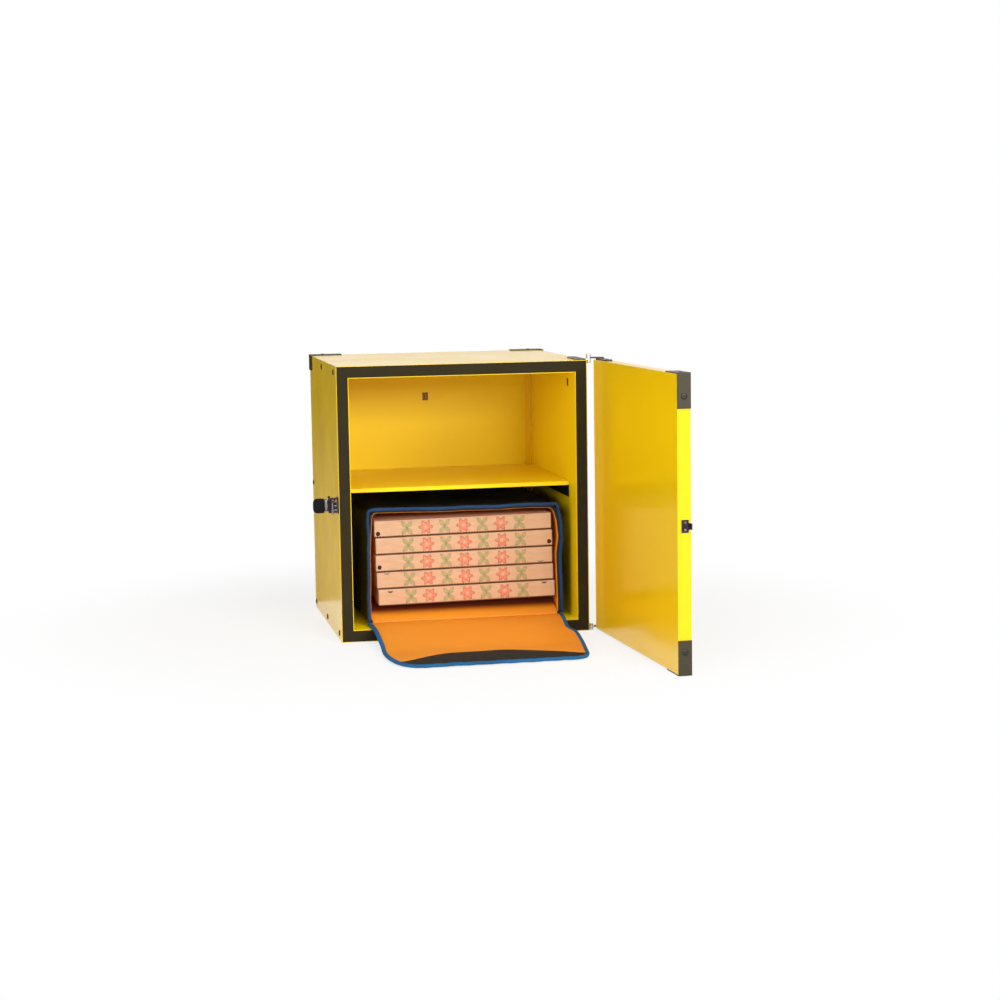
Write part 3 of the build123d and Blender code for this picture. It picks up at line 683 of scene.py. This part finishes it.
outer_cup = creases(bag_cup(0.0, BAG_Y0, BAG_Y1))
shell_in = creases(bag_cup(SHELL, BAG_Y0, BAG_Y1 - SHELL))
lining_cups = [creases(bag_cup(d, BAG_Y0 + LINING_SETBACK, BAG_Y1 - d)) for d in LINING_DEPTHS]
bag_shell = make("bag_body", *slab(outer_cup, shell_in, True), bag_cloth, "bag", "bag_cloth", ["bag_shell"])
bag_inner = make("bag_inner", *slab(*lining_cups, True), lining_cloth, "bag", "lining_cloth", ["bag_lining"])

# The pad's top as (y, height): its front is worn to a slope, and the cartons press the rest flat
pad_lo, pad_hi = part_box("bag_base_pad")
CREST = [(-0.1755, 0.0286), (-0.1700, 0.0312), (-0.160, 0.0362), (-0.146, 0.0425), (-0.128, 0.0525),
         (-0.116, 0.0575), (0.2, 0.0575)]


def pad_shape(v):
    """The pad with its front drawn out to meet the flap and its top laid along CREST."""
    v = v.copy()
    up = (v[:, 2] - pad_lo.z) / (pad_hi.z - pad_lo.z)
    v[:, 1] -= (1 - smooth(pad_lo.y, pad_lo.y + 0.016, v[:, 1])) * 0.0065
    v[:, 2] = pad_lo.z + up * (table(CREST, v[:, 1]) - pad_lo.z)
    return v


pad_block = rounded((pad_lo.x + 0.004, pad_lo.y, pad_lo.z),
                    (pad_hi.x - 0.004, pad_hi.y - 0.002, pad_hi.z - 0.0004),
                    0.003, (0.008, 0.004, 0.006), pad_shape)
bag_pad = make("bag_pad", *pad_block, pad_cloth, "bag", "lining_cloth", ["bag_base_pad"])

# Binding round the mouth. A stitch row is (pitch, thread length, thread radius)
MOUTH_Y = -0.1662
FOOT_Z, FOOT_LEAN, FOOT_TALL = 0.0300, 0.0018, 0.014
BINDING_DEEP = 0.0056
EDGE_STITCH, SEAM_STITCH = (0.0042, 0.0028, 0.0004), (0.0040, 0.0027, 0.0003)


def mouth_place(x, z):
    """A place on the binding's line, which leans out towards its feet."""
    return x, MOUTH_Y - FOOT_LEAN * max(0.0, 1 - (z - FOOT_Z) / FOOT_TALL) ** 2, z


def mouth_path():
    """The binding's line: up the left side, over the top and down the right."""
    pts = []
    for z in np.linspace(FOOT_Z, 0.2265, 22):
        out = 0.0004 + 0.0036 * float(smooth(0.185, 0.215, z))
        pts.append(mouth_place(float(table(LEFT, z)) + 0.0026 - out, z))
    pts.append(mouth_place(-0.1725, 0.2330))
    for x in np.linspace(-0.1645, 0.1745, 36):
        pts.append(mouth_place(x, float(table(TOP, x)) + 0.0006 - float(table(DIP, x))))
    pts.append(mouth_place(0.1800, 0.2325))
    for z in np.linspace(0.2255, FOOT_Z, 22):
        pts.append(mouth_place(float(table(RIGHT, z)) + 0.0018, z))
    return even(np.array(pts), 0.003)


mouth_line = mouth_path()
is_top = smooth(0.21, 0.232, mouth_line[:, 2])
tube = sweep(mouth_line, (0, -1, 0), lerp(0.0031, 0.0030, is_top), BINDING_DEEP, 3.0)
# The mouth's binding takes the darker copy of the blue tape, as painted shade
bag_binding = make("bag_edge_tape", *tube, shaded_binding, "bag", "blue_binding", ["bag_binding"])
face_line = mouth_line - (0, 0.0055, 0)
make("bag_edge_thread", *stitches(face_line, (0, -1, 0), *EDGE_STITCH), shaded_binding, "bag", "blue_binding")

# ---- flap ----

ROOT_Y, TIP_Y = -0.1700, -0.4816
# Underside as (y, height), and the two sides as (x, y)
PROFILE = [(-0.1600, 0.0229), (-0.1728, 0.0229), (-0.2068, 0.0224), (-0.3458, 0.0007), (-0.60, 0.0007)]
FLAP_LEFT = [(-0.1775, -0.1690), (-0.1762, -0.190), (-0.1745, -0.225), (-0.1745, -0.262), (-0.1750, -0.310),
             (-0.1768, -0.352), (-0.1755, -0.398), (-0.1700, -0.436), (-0.1590, -0.462), (-0.1440, -0.4765),
             (-0.1250, -0.4815)]
FLAP_RIGHT = [(0.1862, -0.1690), (0.1845, -0.190), (0.1815, -0.225), (0.1785, -0.256), (0.1800, -0.270),
              (0.1858, -0.282), (0.1880, -0.300), (0.1860, -0.345), (0.1805, -0.385), (0.1740, -0.425),
              (0.1690, -0.452), (0.1600, -0.471), (0.1450, -0.4805), (0.1300, -0.4815)]
FLAP_MID = (0.005, -0.33)
SHEET_IN = 0.0045           # cloth's edge, inside the flap's outline
BINDING_IN = 0.0036         # binding's middle, inside it
BOARD_TOP, CLOTH_LOW, LINING_TOP, TAPE_TOP = 0.0040, 0.0041, 0.0050, 0.0056


def flap_z(x, y):
    """Height of the flap's underside: level out of the box, down the slope and along the ground."""
    ys = np.asarray(y, float)
    total = 0
    for d in (-0.018, -0.009, 0, 0.009, 0.018):
        total = total + np.interp(-(ys + d), [-p[0] for p in PROFILE], [p[1] for p in PROFILE])
    base = total / 5 + 0.0004
    fall = smooth(-0.21, -0.27, ys)
    ripple = 0.5 + 0.5 * waves(x, ys * 0.6, (0.9, 2.2, 3.6), 0.17)
    edge = smooth(-0.43, -0.482, ys)
    return base + fall * (0.0022 * ripple * (1 - 0.6 * edge))


def flat_spline(points, n):
    """A smooth run of n places through (x, y) points."""
    return spline([(x, y, 0) for x, y in points], n)[:, :2]


left_line, right_line = flat_spline(FLAP_LEFT, 80), flat_spline(FLAP_RIGHT, 80)
ARCH = flat_spline([(-0.190, -0.452), (-0.157, -0.4425), (-0.124, -0.4205), (-0.0855, -0.4005),
                    (-0.047, -0.389), (-0.010, -0.385), (0.030, -0.3885), (0.066, -0.400),
                    (0.100, -0.4165), (0.130, -0.432), (0.159, -0.4455), (0.190, -0.456)], 120)


def arch(x):
    """Where the lining meets the closure tape, a bow that stands highest in the middle."""
    return np.interp(x, ARCH[:, 0], ARCH[:, 1])


def flap_grid(y0, y1, inset, low, rows=40, cols=60):
    """A grid over the flap between two lines across it, at a height over its underside."""
    u = np.linspace(0, 1, cols)
    out = []
    for t in np.arange(rows) / (rows - 1):
        y = lerp(y0 + 0 * u, y1 + 0 * u, t)
        xl = np.interp(-y, -left_line[:, 1], left_line[:, 0]) + inset
        xr = np.interp(-y, -right_line[:, 1], right_line[:, 0]) - inset
        x = lerp(xl, xr, u)
        out.append(np.stack([x, y, flap_z(x, y) + low], axis=1))
    return np.array(out)


def flap_piece(name, y0, y1, inset, low, high, material, slot, node, rows=40):
    """A layer of the flap between two lines across it and two heights over its underside."""
    grids = [flap_grid(y0, y1, inset, level, rows) for level in (low, high)]
    return make(name, *slab(*grids), material, "flap", slot, [node])


def flap_row(points, lift):
    """A line over the flap at a height over its underside."""
    p = np.array(points)
    return np.stack([p[:, 0], p[:, 1], flap_z(p[:, 0], p[:, 1]) + lift], axis=1)


def drawn_in(p, gap):
    """A line moved a little towards the flap's middle."""
    out = p.copy()
    d = FLAP_MID - p[:, :2]
    out[:, :2] += gap * d / np.linalg.norm(d, axis=1, keepdims=True)
    return out


inner_tip = TIP_Y + SHEET_IN
arch_line = arch(lerp(-0.172, 0.173, np.linspace(0, 1, 60)))
panel = flap_piece("flap_board", ROOT_Y, inner_tip, 0.004, 0.0, BOARD_TOP, bag_cloth,
                   "bag_cloth", "flap_panel")
flap_lining = flap_piece("flap_face", ROOT_Y, arch_line, SHEET_IN, CLOTH_LOW, LINING_TOP, lining_cloth,
                         "lining_cloth", "flap_lining")
tape = flap_piece("flap_tape", arch_line, inner_tip, SHEET_IN, CLOTH_LOW, TAPE_TOP, closure_tape,
                  "closure_tape", "flap_closure", 16)
tip = [(x, TIP_Y + 0.0012 * sin(k)) for k, x in enumerate(np.linspace(-0.12, 0.125, 40))]
border = np.vstack([left_line, tip, right_line[::-1]])
tube = sweep(drawn_in(even(flap_row(border, 0.0029), 0.0035), BINDING_IN), (0, 0, 1), 0.0040, 0.0030, 2.8)
flap_binding = make("flap_edge_tape", *tube, blue_binding, "flap", "blue_binding", ["flap_binding"])
rim_rows = stitches(flap_row(drawn_in(border, BINDING_IN), 0.0058), (0, 0, 1), *EDGE_STITCH)
flap_thread = make("flap_edge_thread", *rim_rows, blue_binding, "flap", "blue_binding")
seams = [[(x, float(arch(x)) + 0.003) for x in np.linspace(-0.150, 0.155, 90)]]
for side, line in ((1, left_line), (-1, right_line)):
    seams.append([(x + side * 0.0115, y) for x, y in line if -0.40 < y < -0.175])
seam_rows = [stitches(flap_row(seam, 0.0052), (0, 0, 1), *SEAM_STITCH) for seam in seams]
face_thread = make("flap_face_thread", *joined(*seam_rows), lining_cloth, "flap", "lining_cloth")
for piece in (panel, flap_lining, tape, flap_binding, flap_thread, face_thread):
    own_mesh(piece)

# ---- cartons ----

STACK_TILT = radians(0.6)
CARTON_HALF, BOARD = 0.165, 0.0015
TOOTH_COLS, TOOTH = 129, 0.0021
FLAP_LEVELS = (0.0, 0.08, 0.38, 0.70, 0.95, 1.0)
HOLE_RX, HOLE_RZ = 0.0038, 0.0042
THIN_CELL = (0.02, 0.002, 0.002)
# By carton: a round hole as (x, z), and half-moon cuts as (x, z, whether nearly filled)
HOLES = {5: (-0.1585, -0.0085), 4: (0.1590, -0.0070), 3: (-0.1585, -0.0070)}
CUTS = {1: [(-0.1435, 0.0115, 1), (0.1450, 0.0130, 1)], 2: [(-0.1470, 0.0140, 0)], 3: [(0.1430, -0.0095, 0)]}


def disc(x, z, y, depth, n=20):
    """A shallow oval plug on the front of a carton, dark as painted shade for a hole."""
    a = np.linspace(0, 2 * pi, n, endpoint=False)
    rim = list(zip(x + HOLE_RX * np.cos(a), z + HOLE_RZ * np.sin(a)))
    verts = [(px, y, pz) for px, pz in rim] + [(px, y + depth, pz) for px, pz in rim]
    faces = [tuple(range(n)), tuple(range(n, 2 * n))]
    faces += [(i, (i + 1) % n, n + (i + 1) % n, n + i) for i in range(n)]
    return verts, faces


def half_moon(x, z, filled, y):
    """A thin half-moon on the front of a carton, nearly filled or a narrow crescent, dark as painted shade in
    a cut.
    """
    a = np.linspace(pi, 2 * pi, 12)
    rise = 0.0006 if filled else 0.0020
    outer = np.stack([x + 0.0050 * np.cos(a), 0 * a + y, z + 0.0030 * np.sin(a)], axis=1)
    inner = np.stack([x + 0.0046 * np.cos(a), 0 * a + y, z + 0.0002 + rise * np.sin(a)], axis=1)
    p = np.stack([outer, inner])
    return slab(p, p + (0, 0.0009, 0))


for k in range(1, 6):
    lo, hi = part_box(f"carton_{k}")
    mid = (lo + hi) / 2
    lo, hi = lo - mid, hi - mid
    sag = rng.uniform(0.0002, 0.0007)

    def carton_shape(v):
        """A block whose top sags in the middle."""
        v = v.copy()
        up = smooth(hi.z - 0.004, hi.z, v[:, 2])
        across, along = np.cos(v[:, 0] / CARTON_HALF * pi / 2), np.cos(v[:, 1] / CARTON_HALF * pi / 2)
        v[:, 2] -= up * sag * across * along
        return v

    block = rounded((lo.x + 0.0012, lo.y + 0.0019, lo.z + 0.0002), (hi.x - 0.0012, hi.y, hi.z - 0.0003),
                    0.0012, (0.02, 0.02, 0.008), carton_shape)
    # front flap with a toothed lower edge
    xs = np.linspace(lo.x, hi.x, TOOTH_COLS)
    teeth = np.where(np.arange(TOOTH_COLS) % 2, 0.0, TOOTH)
    y = lo.y + np.abs(0.0003 * np.sin(xs * 40 + k))
    front, rear = [], []
    for level in FLAP_LEVELS:
        z = lo.z + 0.0010 + level * (hi.z - lo.z - 0.0018) + (0 * xs if level else teeth)
        lean = 0.0008 if level == FLAP_LEVELS[-1] else 0.0
        front.append(np.stack([xs, y + lean, z], axis=1))
        rear.append(np.stack([xs, y + BOARD, z], axis=1))
    flap = slab(np.array(front), np.array(rear))
    piece = make(f"carton_{k}_box", *joined(block, flap), carton_board, slot="carton_board")
    # painted shade, as dark marks: the shadow in the joint under the lid, the shade behind the teeth, and the
    # shade in the hole and the cuts
    seam = rounded((lo.x + 0.0006, lo.y + 0.0012, hi.z - 0.0014),
                   (hi.x - 0.0006, lo.y + 0.004, hi.z - 0.0004), 0.0004, THIN_CELL)
    behind_teeth = rounded((lo.x + 0.0008, lo.y + 0.0009, lo.z + 0.0001),
                           (hi.x - 0.0008, lo.y + 0.0018, lo.z + 0.0040), 0.0003, THIN_CELL)
    marks = [seam, behind_teeth]
    if k in HOLES:
        marks.append(disc(*HOLES[k], lo.y - 0.00015, 0.0012))
    marks += [half_moon(*cut, lo.y - 0.00012) for cut in CUTS.get(k, [])]
    spot = make(f"carton_{k}_painted_shade", *joined(*marks), hole_and_gap_shade, slot="carton_board")
    for part in (piece, spot):
        part.location = mid
        part.rotation_euler = (0, -STACK_TILT, 0)
        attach(part, f"carton_{k}_body")
    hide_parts(f"carton_{k}")

# ---- rivets and screws ----

# Profile of a head as (share of height, share of radius)
RIVET = [(0.0, 1.0), (0.30, 0.99), (0.62, 0.86), (0.86, 0.62), (1.0, 0.34), (0.94, 0.27), (0.62, 0.22),
         (0.60, 0.0)]
HEAD_SIDES = 20
CASE_MID, DOOR_MID = np.array([0, 0, 0.25]), np.array([0.268, -0.43, 0.25])


def islands(bm):
    """The places of each separate body in a mesh."""
    seen, found = set(), []
    for first in bm.verts:
        if first in seen:
            continue
        seen.add(first)
        group = [first]
        for v in group:
            for other in (edge.other_vert(v) for edge in v.link_edges):
                if other not in seen:
                    seen.add(other)
                    group.append(other)
        found.append(np.array([v.co[:] for v in group]))
    return found


def heads(name, node, middle, material, keep=None):
    """Domed heads with a sunk middle, one where each flat head of a node lies, facing away from middle."""
    bm = bmesh.new()
    bm.from_mesh(frame["nodes"][node].data)
    bmesh.ops.remove_doubles(bm, verts=bm.verts, dist=1e-6)
    turn = np.arange(HEAD_SIDES) * 2 * pi / HEAD_SIDES
    parts = []
    for p in islands(bm):
        centre = (p.max(axis=0) + p.min(axis=0)) / 2
        if keep and not keep(centre):
            continue
        n, u, w = np.linalg.eigh(np.cov((p - centre).T))[1].T
        n = n if n @ (centre - middle) > 0 else -n
        h = (p - centre) @ n
        base, tall = centre + n * h.min(), h.max() - h.min()
        r = np.linalg.norm((p - centre) - np.outer(h, n), axis=1).max()
        rim = r * (np.outer(np.cos(turn), u) + np.outer(np.sin(turn), w))
        rows = [base + n * tall * share + rim * wide for share, wide in RIVET]
        faces = faces_of(len(rows), HEAD_SIDES, 0, True) + [tuple(range(HEAD_SIDES))]
        parts.append((np.vstack(rows), faces))
    bm.free()
    return make(name, *joined(*parts), material, slot=slot_of[node])


def near_keeper(c):
    return abs(c[2] - 0.25) < 0.02


def off_keeper(c):
    return not near_keeper(c)


for name, node, middle, body, keep in (("panel_rivet_heads", "panel_rivets", CASE_MID, "case", None),
                                       ("case_screw_heads", "case_screws", CASE_MID, "case", None),
                                       ("door_screw_heads", "door_screws", DOOR_MID, "door", off_keeper)):
    piece = heads(name, node, middle, black_paint, keep)
    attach(piece, body)
    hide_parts(node)
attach(heads("keeper_rivet_heads", "door_screws", DOOR_MID, bright_steel, near_keeper), "door")

# ---- latch ----

PIVOT = (-0.2365, -0.1960, 0.2500)
GRIP_TIP, GRIP_Z = -0.2757, 0.2502
BOW_X, BOW_Z, BOW_HALF = -0.2524, 0.2512, 0.0116
EAR_HALF = 0.0012


def turned(x, y, z0, z1, profile, n=24):
    """A turned upright body: profile gives (share of height, radius) pairs."""
    a = np.arange(n) * 2 * pi / n
    rows = [np.stack([x + r * np.cos(a), y + r * np.sin(a), 0 * a + lerp(z0, z1, share)], axis=1)
            for share, r in profile]
    faces = faces_of(len(rows), n, 0, True)
    faces += [tuple(range(n)), tuple(range((len(rows) - 1) * n, len(rows) * n))]
    return np.vstack(rows), faces


def barrel(end, belly, share):
    """Profile of a turned body whose two ends are eased over a share of its height."""
    return [(0, end), (share, belly), (1 - share, belly), (1, end)]


def grip_shape(v):
    """A moulded thumb grip: rounded outer end, tapered in thickness, with fine ribs."""
    v = v.copy()
    along = v[:, 0] - GRIP_TIP
    t = np.clip(along / 0.0072, 0, 1)
    tall = 0.42 + 0.58 * np.sqrt(np.clip(1 - (1 - t) ** 2, 0, 1))
    v[:, 2] = GRIP_Z + (v[:, 2] - GRIP_Z) * tall
    thick = 0.62 + 0.38 * smooth(0, 0.012, along)
    ribs = 1 + 0.07 * np.cos(along * 2 * pi / 0.0033)
    v[:, 1] = PIVOT[1] + (v[:, 1] - PIVOT[1]) * thick * ribs
    return v


def bow_shape(v):
    """A polished bow, widest at mid height."""
    v = v.copy()
    wide = np.sqrt(np.clip(1 - ((v[:, 2] - BOW_Z) / BOW_HALF) ** 2, 0.02, 1))
    v[:, 0] = BOW_X + (v[:, 0] - BOW_X) * wide
    v[:, 1] = PIVOT[1] + (v[:, 1] - PIVOT[1]) * (0.55 + 0.45 * wide)
    return v


thumb = rounded((GRIP_TIP, -0.2010, 0.2372), (-0.2559, -0.1910, 0.2632), 0.0018, (0.0008, 0.0020, 0.0016),
                grip_shape)
make("latch_thumb_grip", *thumb, grip_rubber, "lever", "grip_rubber", ["latch_grip"])
latch_bow = rounded((-0.2555, -0.1995, 0.2396), (-0.2493, -0.1938, 0.2628), 0.0014, (0.0012, 0.0016, 0.0012),
                    bow_shape)
make("latch_bow", *latch_bow, bright_steel, "lever", "plated_steel")
x, y = PIVOT[:2]
web = rounded((-0.2482, y - 0.0038, 0.2366), (-0.2412, y + 0.0022, 0.2640), 0.0012, (0.0015, 0.0016, 0.0016))
arm = rounded((-0.2580, y - 0.00125, 0.2400), (-0.2470, y + 0.00125, 0.2600), 0.0008, (0.0016, 0.0006, 0.002))
cheeks = [rounded((-0.2440, y - 0.0050, z0), (x + 0.0052, y + 0.0050, z1), 0.0010, (0.0012, 0.0012, 0.0010))
          for z0, z1 in ((0.2366, 0.2392), (0.2606, 0.2640))]
hubs = [turned(x, y, z0, z1, barrel(0.0028, 0.0032, 0.06)) for z0, z1 in ((0.2432, 0.2483), (0.2513, 0.2556))]
horn = rounded((-0.2445, -0.2052, 0.2440), (-0.2408, y - 0.0030, 0.2560), 0.0012, (0.0012, 0.0014, 0.0016))
boss = turned(-0.2425, -0.2035, 0.2428, 0.2572, barrel(0.0024, 0.0029, 0.05))
knob = turned(-0.2471, y, 0.2640, 0.2676, [(0, 0.0022), (0.6, 0.0022), (0.9, 0.0017), (1, 0.0009)])
make("latch_yoke", *joined(web, arm, *cheeks, *hubs, horn, boss, knob), dark_steel, "lever", "dark_steel",
     ["latch_lever"])
plate_lo, plate_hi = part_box("latch_base")
plate = rounded((-0.2320, plate_lo.y, plate_lo.z), (-0.2300, plate_hi.y, plate_hi.z), 0.0008,
                (0.0008, 0.0022, 0.0022))
ears = []
for mid_z in (0.2419, 0.2498, 0.2571):
    z0, z1 = mid_z - EAR_HALF, mid_z + EAR_HALF
    ears.append(turned(x, y, z0, z1, barrel(0.0030, 0.0033, 0.15)))
    ears.append(rounded((x, y - 0.0030, z0), (-0.2312, y + 0.0030, z1), 0.0006, (0.0012, 0.0016, 0.0008)))
make("latch_bracket", *plate, dark_steel, "case", "plated_steel", ["latch_base"])
make("latch_ears", *joined(*ears), bright_steel, "case", "plated_steel")

# ---- floor, light and camera ----

WHITE = (1, 1, 1, 1)
FLOOR_TONE = 0.93
FADE_EDGES, FADE_SHARES = (0.4, 0.95), (0.75, 1.0)
SOFT_LIGHT = 0.36
BEHIND_EDGES = (-0.35, 0.15)

# The floor is plain white to the camera and to reflections, but for a faint shadow near the box
floor_t = Tree("floor_white")
floor_t.set(Base_Color=(FLOOR_TONE, FLOOR_TONE, FLOOR_TONE, 1), Roughness=0.95, Specular_IOR_Level=0.1)
place = floor_t.split(floor_t.coord)
far = floor_t.math("SQRT", floor_t.math("ADD", floor_t.math("MULTIPLY", place[0], place[0]),
                                        floor_t.math("MULTIPLY", place[1], place[1])))
rays = floor_t.nt.nodes.new("ShaderNodeLightPath").outputs
seen_by = floor_t.math("MAXIMUM", rays["Is Camera Ray"], rays["Is Glossy Ray"])
plain = floor_t.nt.nodes.new("ShaderNodeEmission")
plain.inputs[0].default_value = WHITE
fade = floor_t.nt.nodes.new("ShaderNodeMixShader")
floor_t.put(fade.inputs[0], floor_t.math("MULTIPLY", seen_by, floor_t.ramp(far, *FADE_EDGES, *FADE_SHARES)))
floor_t.put(fade.inputs[1], floor_t.bsdf.outputs[0])
floor_t.put(fade.inputs[2], plain.outputs[0])
floor_t.put(floor_t.out.inputs[0], fade.outputs[0])
floor = make("floor", [(-12, -12, 0), (12, -12, 0), (12, 12, 0), (-12, 12, 0)], [(0, 1, 2, 3)], floor_t.mat)

# The world lights softly, and is plain white to the camera and to reflections of what lies behind
world = bpy.data.worlds.new("studio")
scene.world = world
world.use_nodes = True
nt = world.node_tree
nt.nodes.clear()


def background(strength):
    node = nt.nodes.new("ShaderNodeBackground")
    node.inputs[0].default_value = WHITE
    node.inputs[1].default_value = strength
    return node.outputs[0]


def world_math(op, a, b):
    node = nt.nodes.new("ShaderNodeMath")
    node.operation = op
    nt.links.new(a, node.inputs[0])
    nt.links.new(b, node.inputs[1])
    return node.outputs[0]


rays = nt.nodes.new("ShaderNodeLightPath").outputs
axes = nt.nodes.new("ShaderNodeSeparateXYZ")
nt.links.new(nt.nodes.new("ShaderNodeTexCoord").outputs["Generated"], axes.inputs[0])
behind = nt.nodes.new("ShaderNodeMapRange")
behind.inputs["From Min"].default_value, behind.inputs["From Max"].default_value = BEHIND_EDGES
nt.links.new(axes.outputs["Y"], behind.inputs["Value"])
shiny = world_math("MULTIPLY", behind.outputs[0], rays["Is Glossy Ray"])
blend = nt.nodes.new("ShaderNodeMixShader")
nt.links.new(world_math("MAXIMUM", rays["Is Camera Ray"], shiny), blend.inputs[0])
nt.links.new(background(SOFT_LIGHT), blend.inputs[1])
nt.links.new(background(1.0), blend.inputs[2])
nt.links.new(blend.outputs[0], nt.nodes.new("ShaderNodeOutputWorld").inputs[0])


def softbox(name, place, aim, size, power):
    light = bpy.data.lights.new(name, "AREA")
    light.shape = "RECTANGLE"
    light.size, light.size_y = size
    light.energy = power
    lamp = bpy.data.objects.new(name, light)
    scene.collection.objects.link(lamp)
    lamp.location = place
    lamp.rotation_euler = (Vector(aim) - Vector(place)).to_track_quat("-Z", "Y").to_euler()


softbox("key", (1.25, -4.3, 1.3), (0, 0, 0.25), (1.9, 0.8), 110)
softbox("top", (-0.2, -1.5, 3.2), (0, -0.2, 0.2), (2.6, 2.4), 42)
softbox("side", (-2.9, -3.0, 1.2), (0, 0, 0.25), (1.8, 1.4), 42)

# A card that only reflections see, pale at its foot and dark above, behind the box's left side
CARD_X, CARD_Y, CARD_TOP = (-0.9, -0.2305), 0.26, 0.9
card_t = Tree("card_grey")
tone = card_t.mix(card_t.ramp(card_t.split(card_t.coord)[2], 0.08, 0.45), (0.55, 0.50, 0.42, 1),
                  (0.07, 0.065, 0.06, 1))
card_t.set(Base_Color=tone, Roughness=1.0, Specular_IOR_Level=0.0)
corners = [(CARD_X[0], 0.0), (CARD_X[1], 0.0), (CARD_X[1], CARD_TOP), (CARD_X[0], CARD_TOP)]
card = make("card", [(cx, CARD_Y, cz) for cx, cz in corners], [(0, 1, 2, 3)], card_t.mat)
card.visible_camera = card.visible_diffuse = card.visible_shadow = card.visible_transmission = False

scene.view_settings.view_transform = "Standard"
YAW, PITCH, ROLL = 0.197226, 0.120245, -0.015176
CAMERA_AT = (-0.702601, -4.045884, 0.722514)
forward = Vector((sin(YAW) * cos(PITCH), cos(YAW) * cos(PITCH), -sin(PITCH)))
level = Vector((cos(YAW), -sin(YAW), 0))
upright = level.cross(forward)
right = cos(ROLL) * level + sin(ROLL) * upright
up = -sin(ROLL) * level + cos(ROLL) * upright
camera = bpy.data.cameras.new("camera")
camera.sensor_width = 36
camera.lens = 77.955
viewer = bpy.data.objects.new("camera", camera)
scene.collection.objects.link(viewer)
viewer.matrix_world = Matrix.Translation(CAMERA_AT) @ Matrix((right, up, -forward)).transposed().to_4x4()
scene.camera = viewer
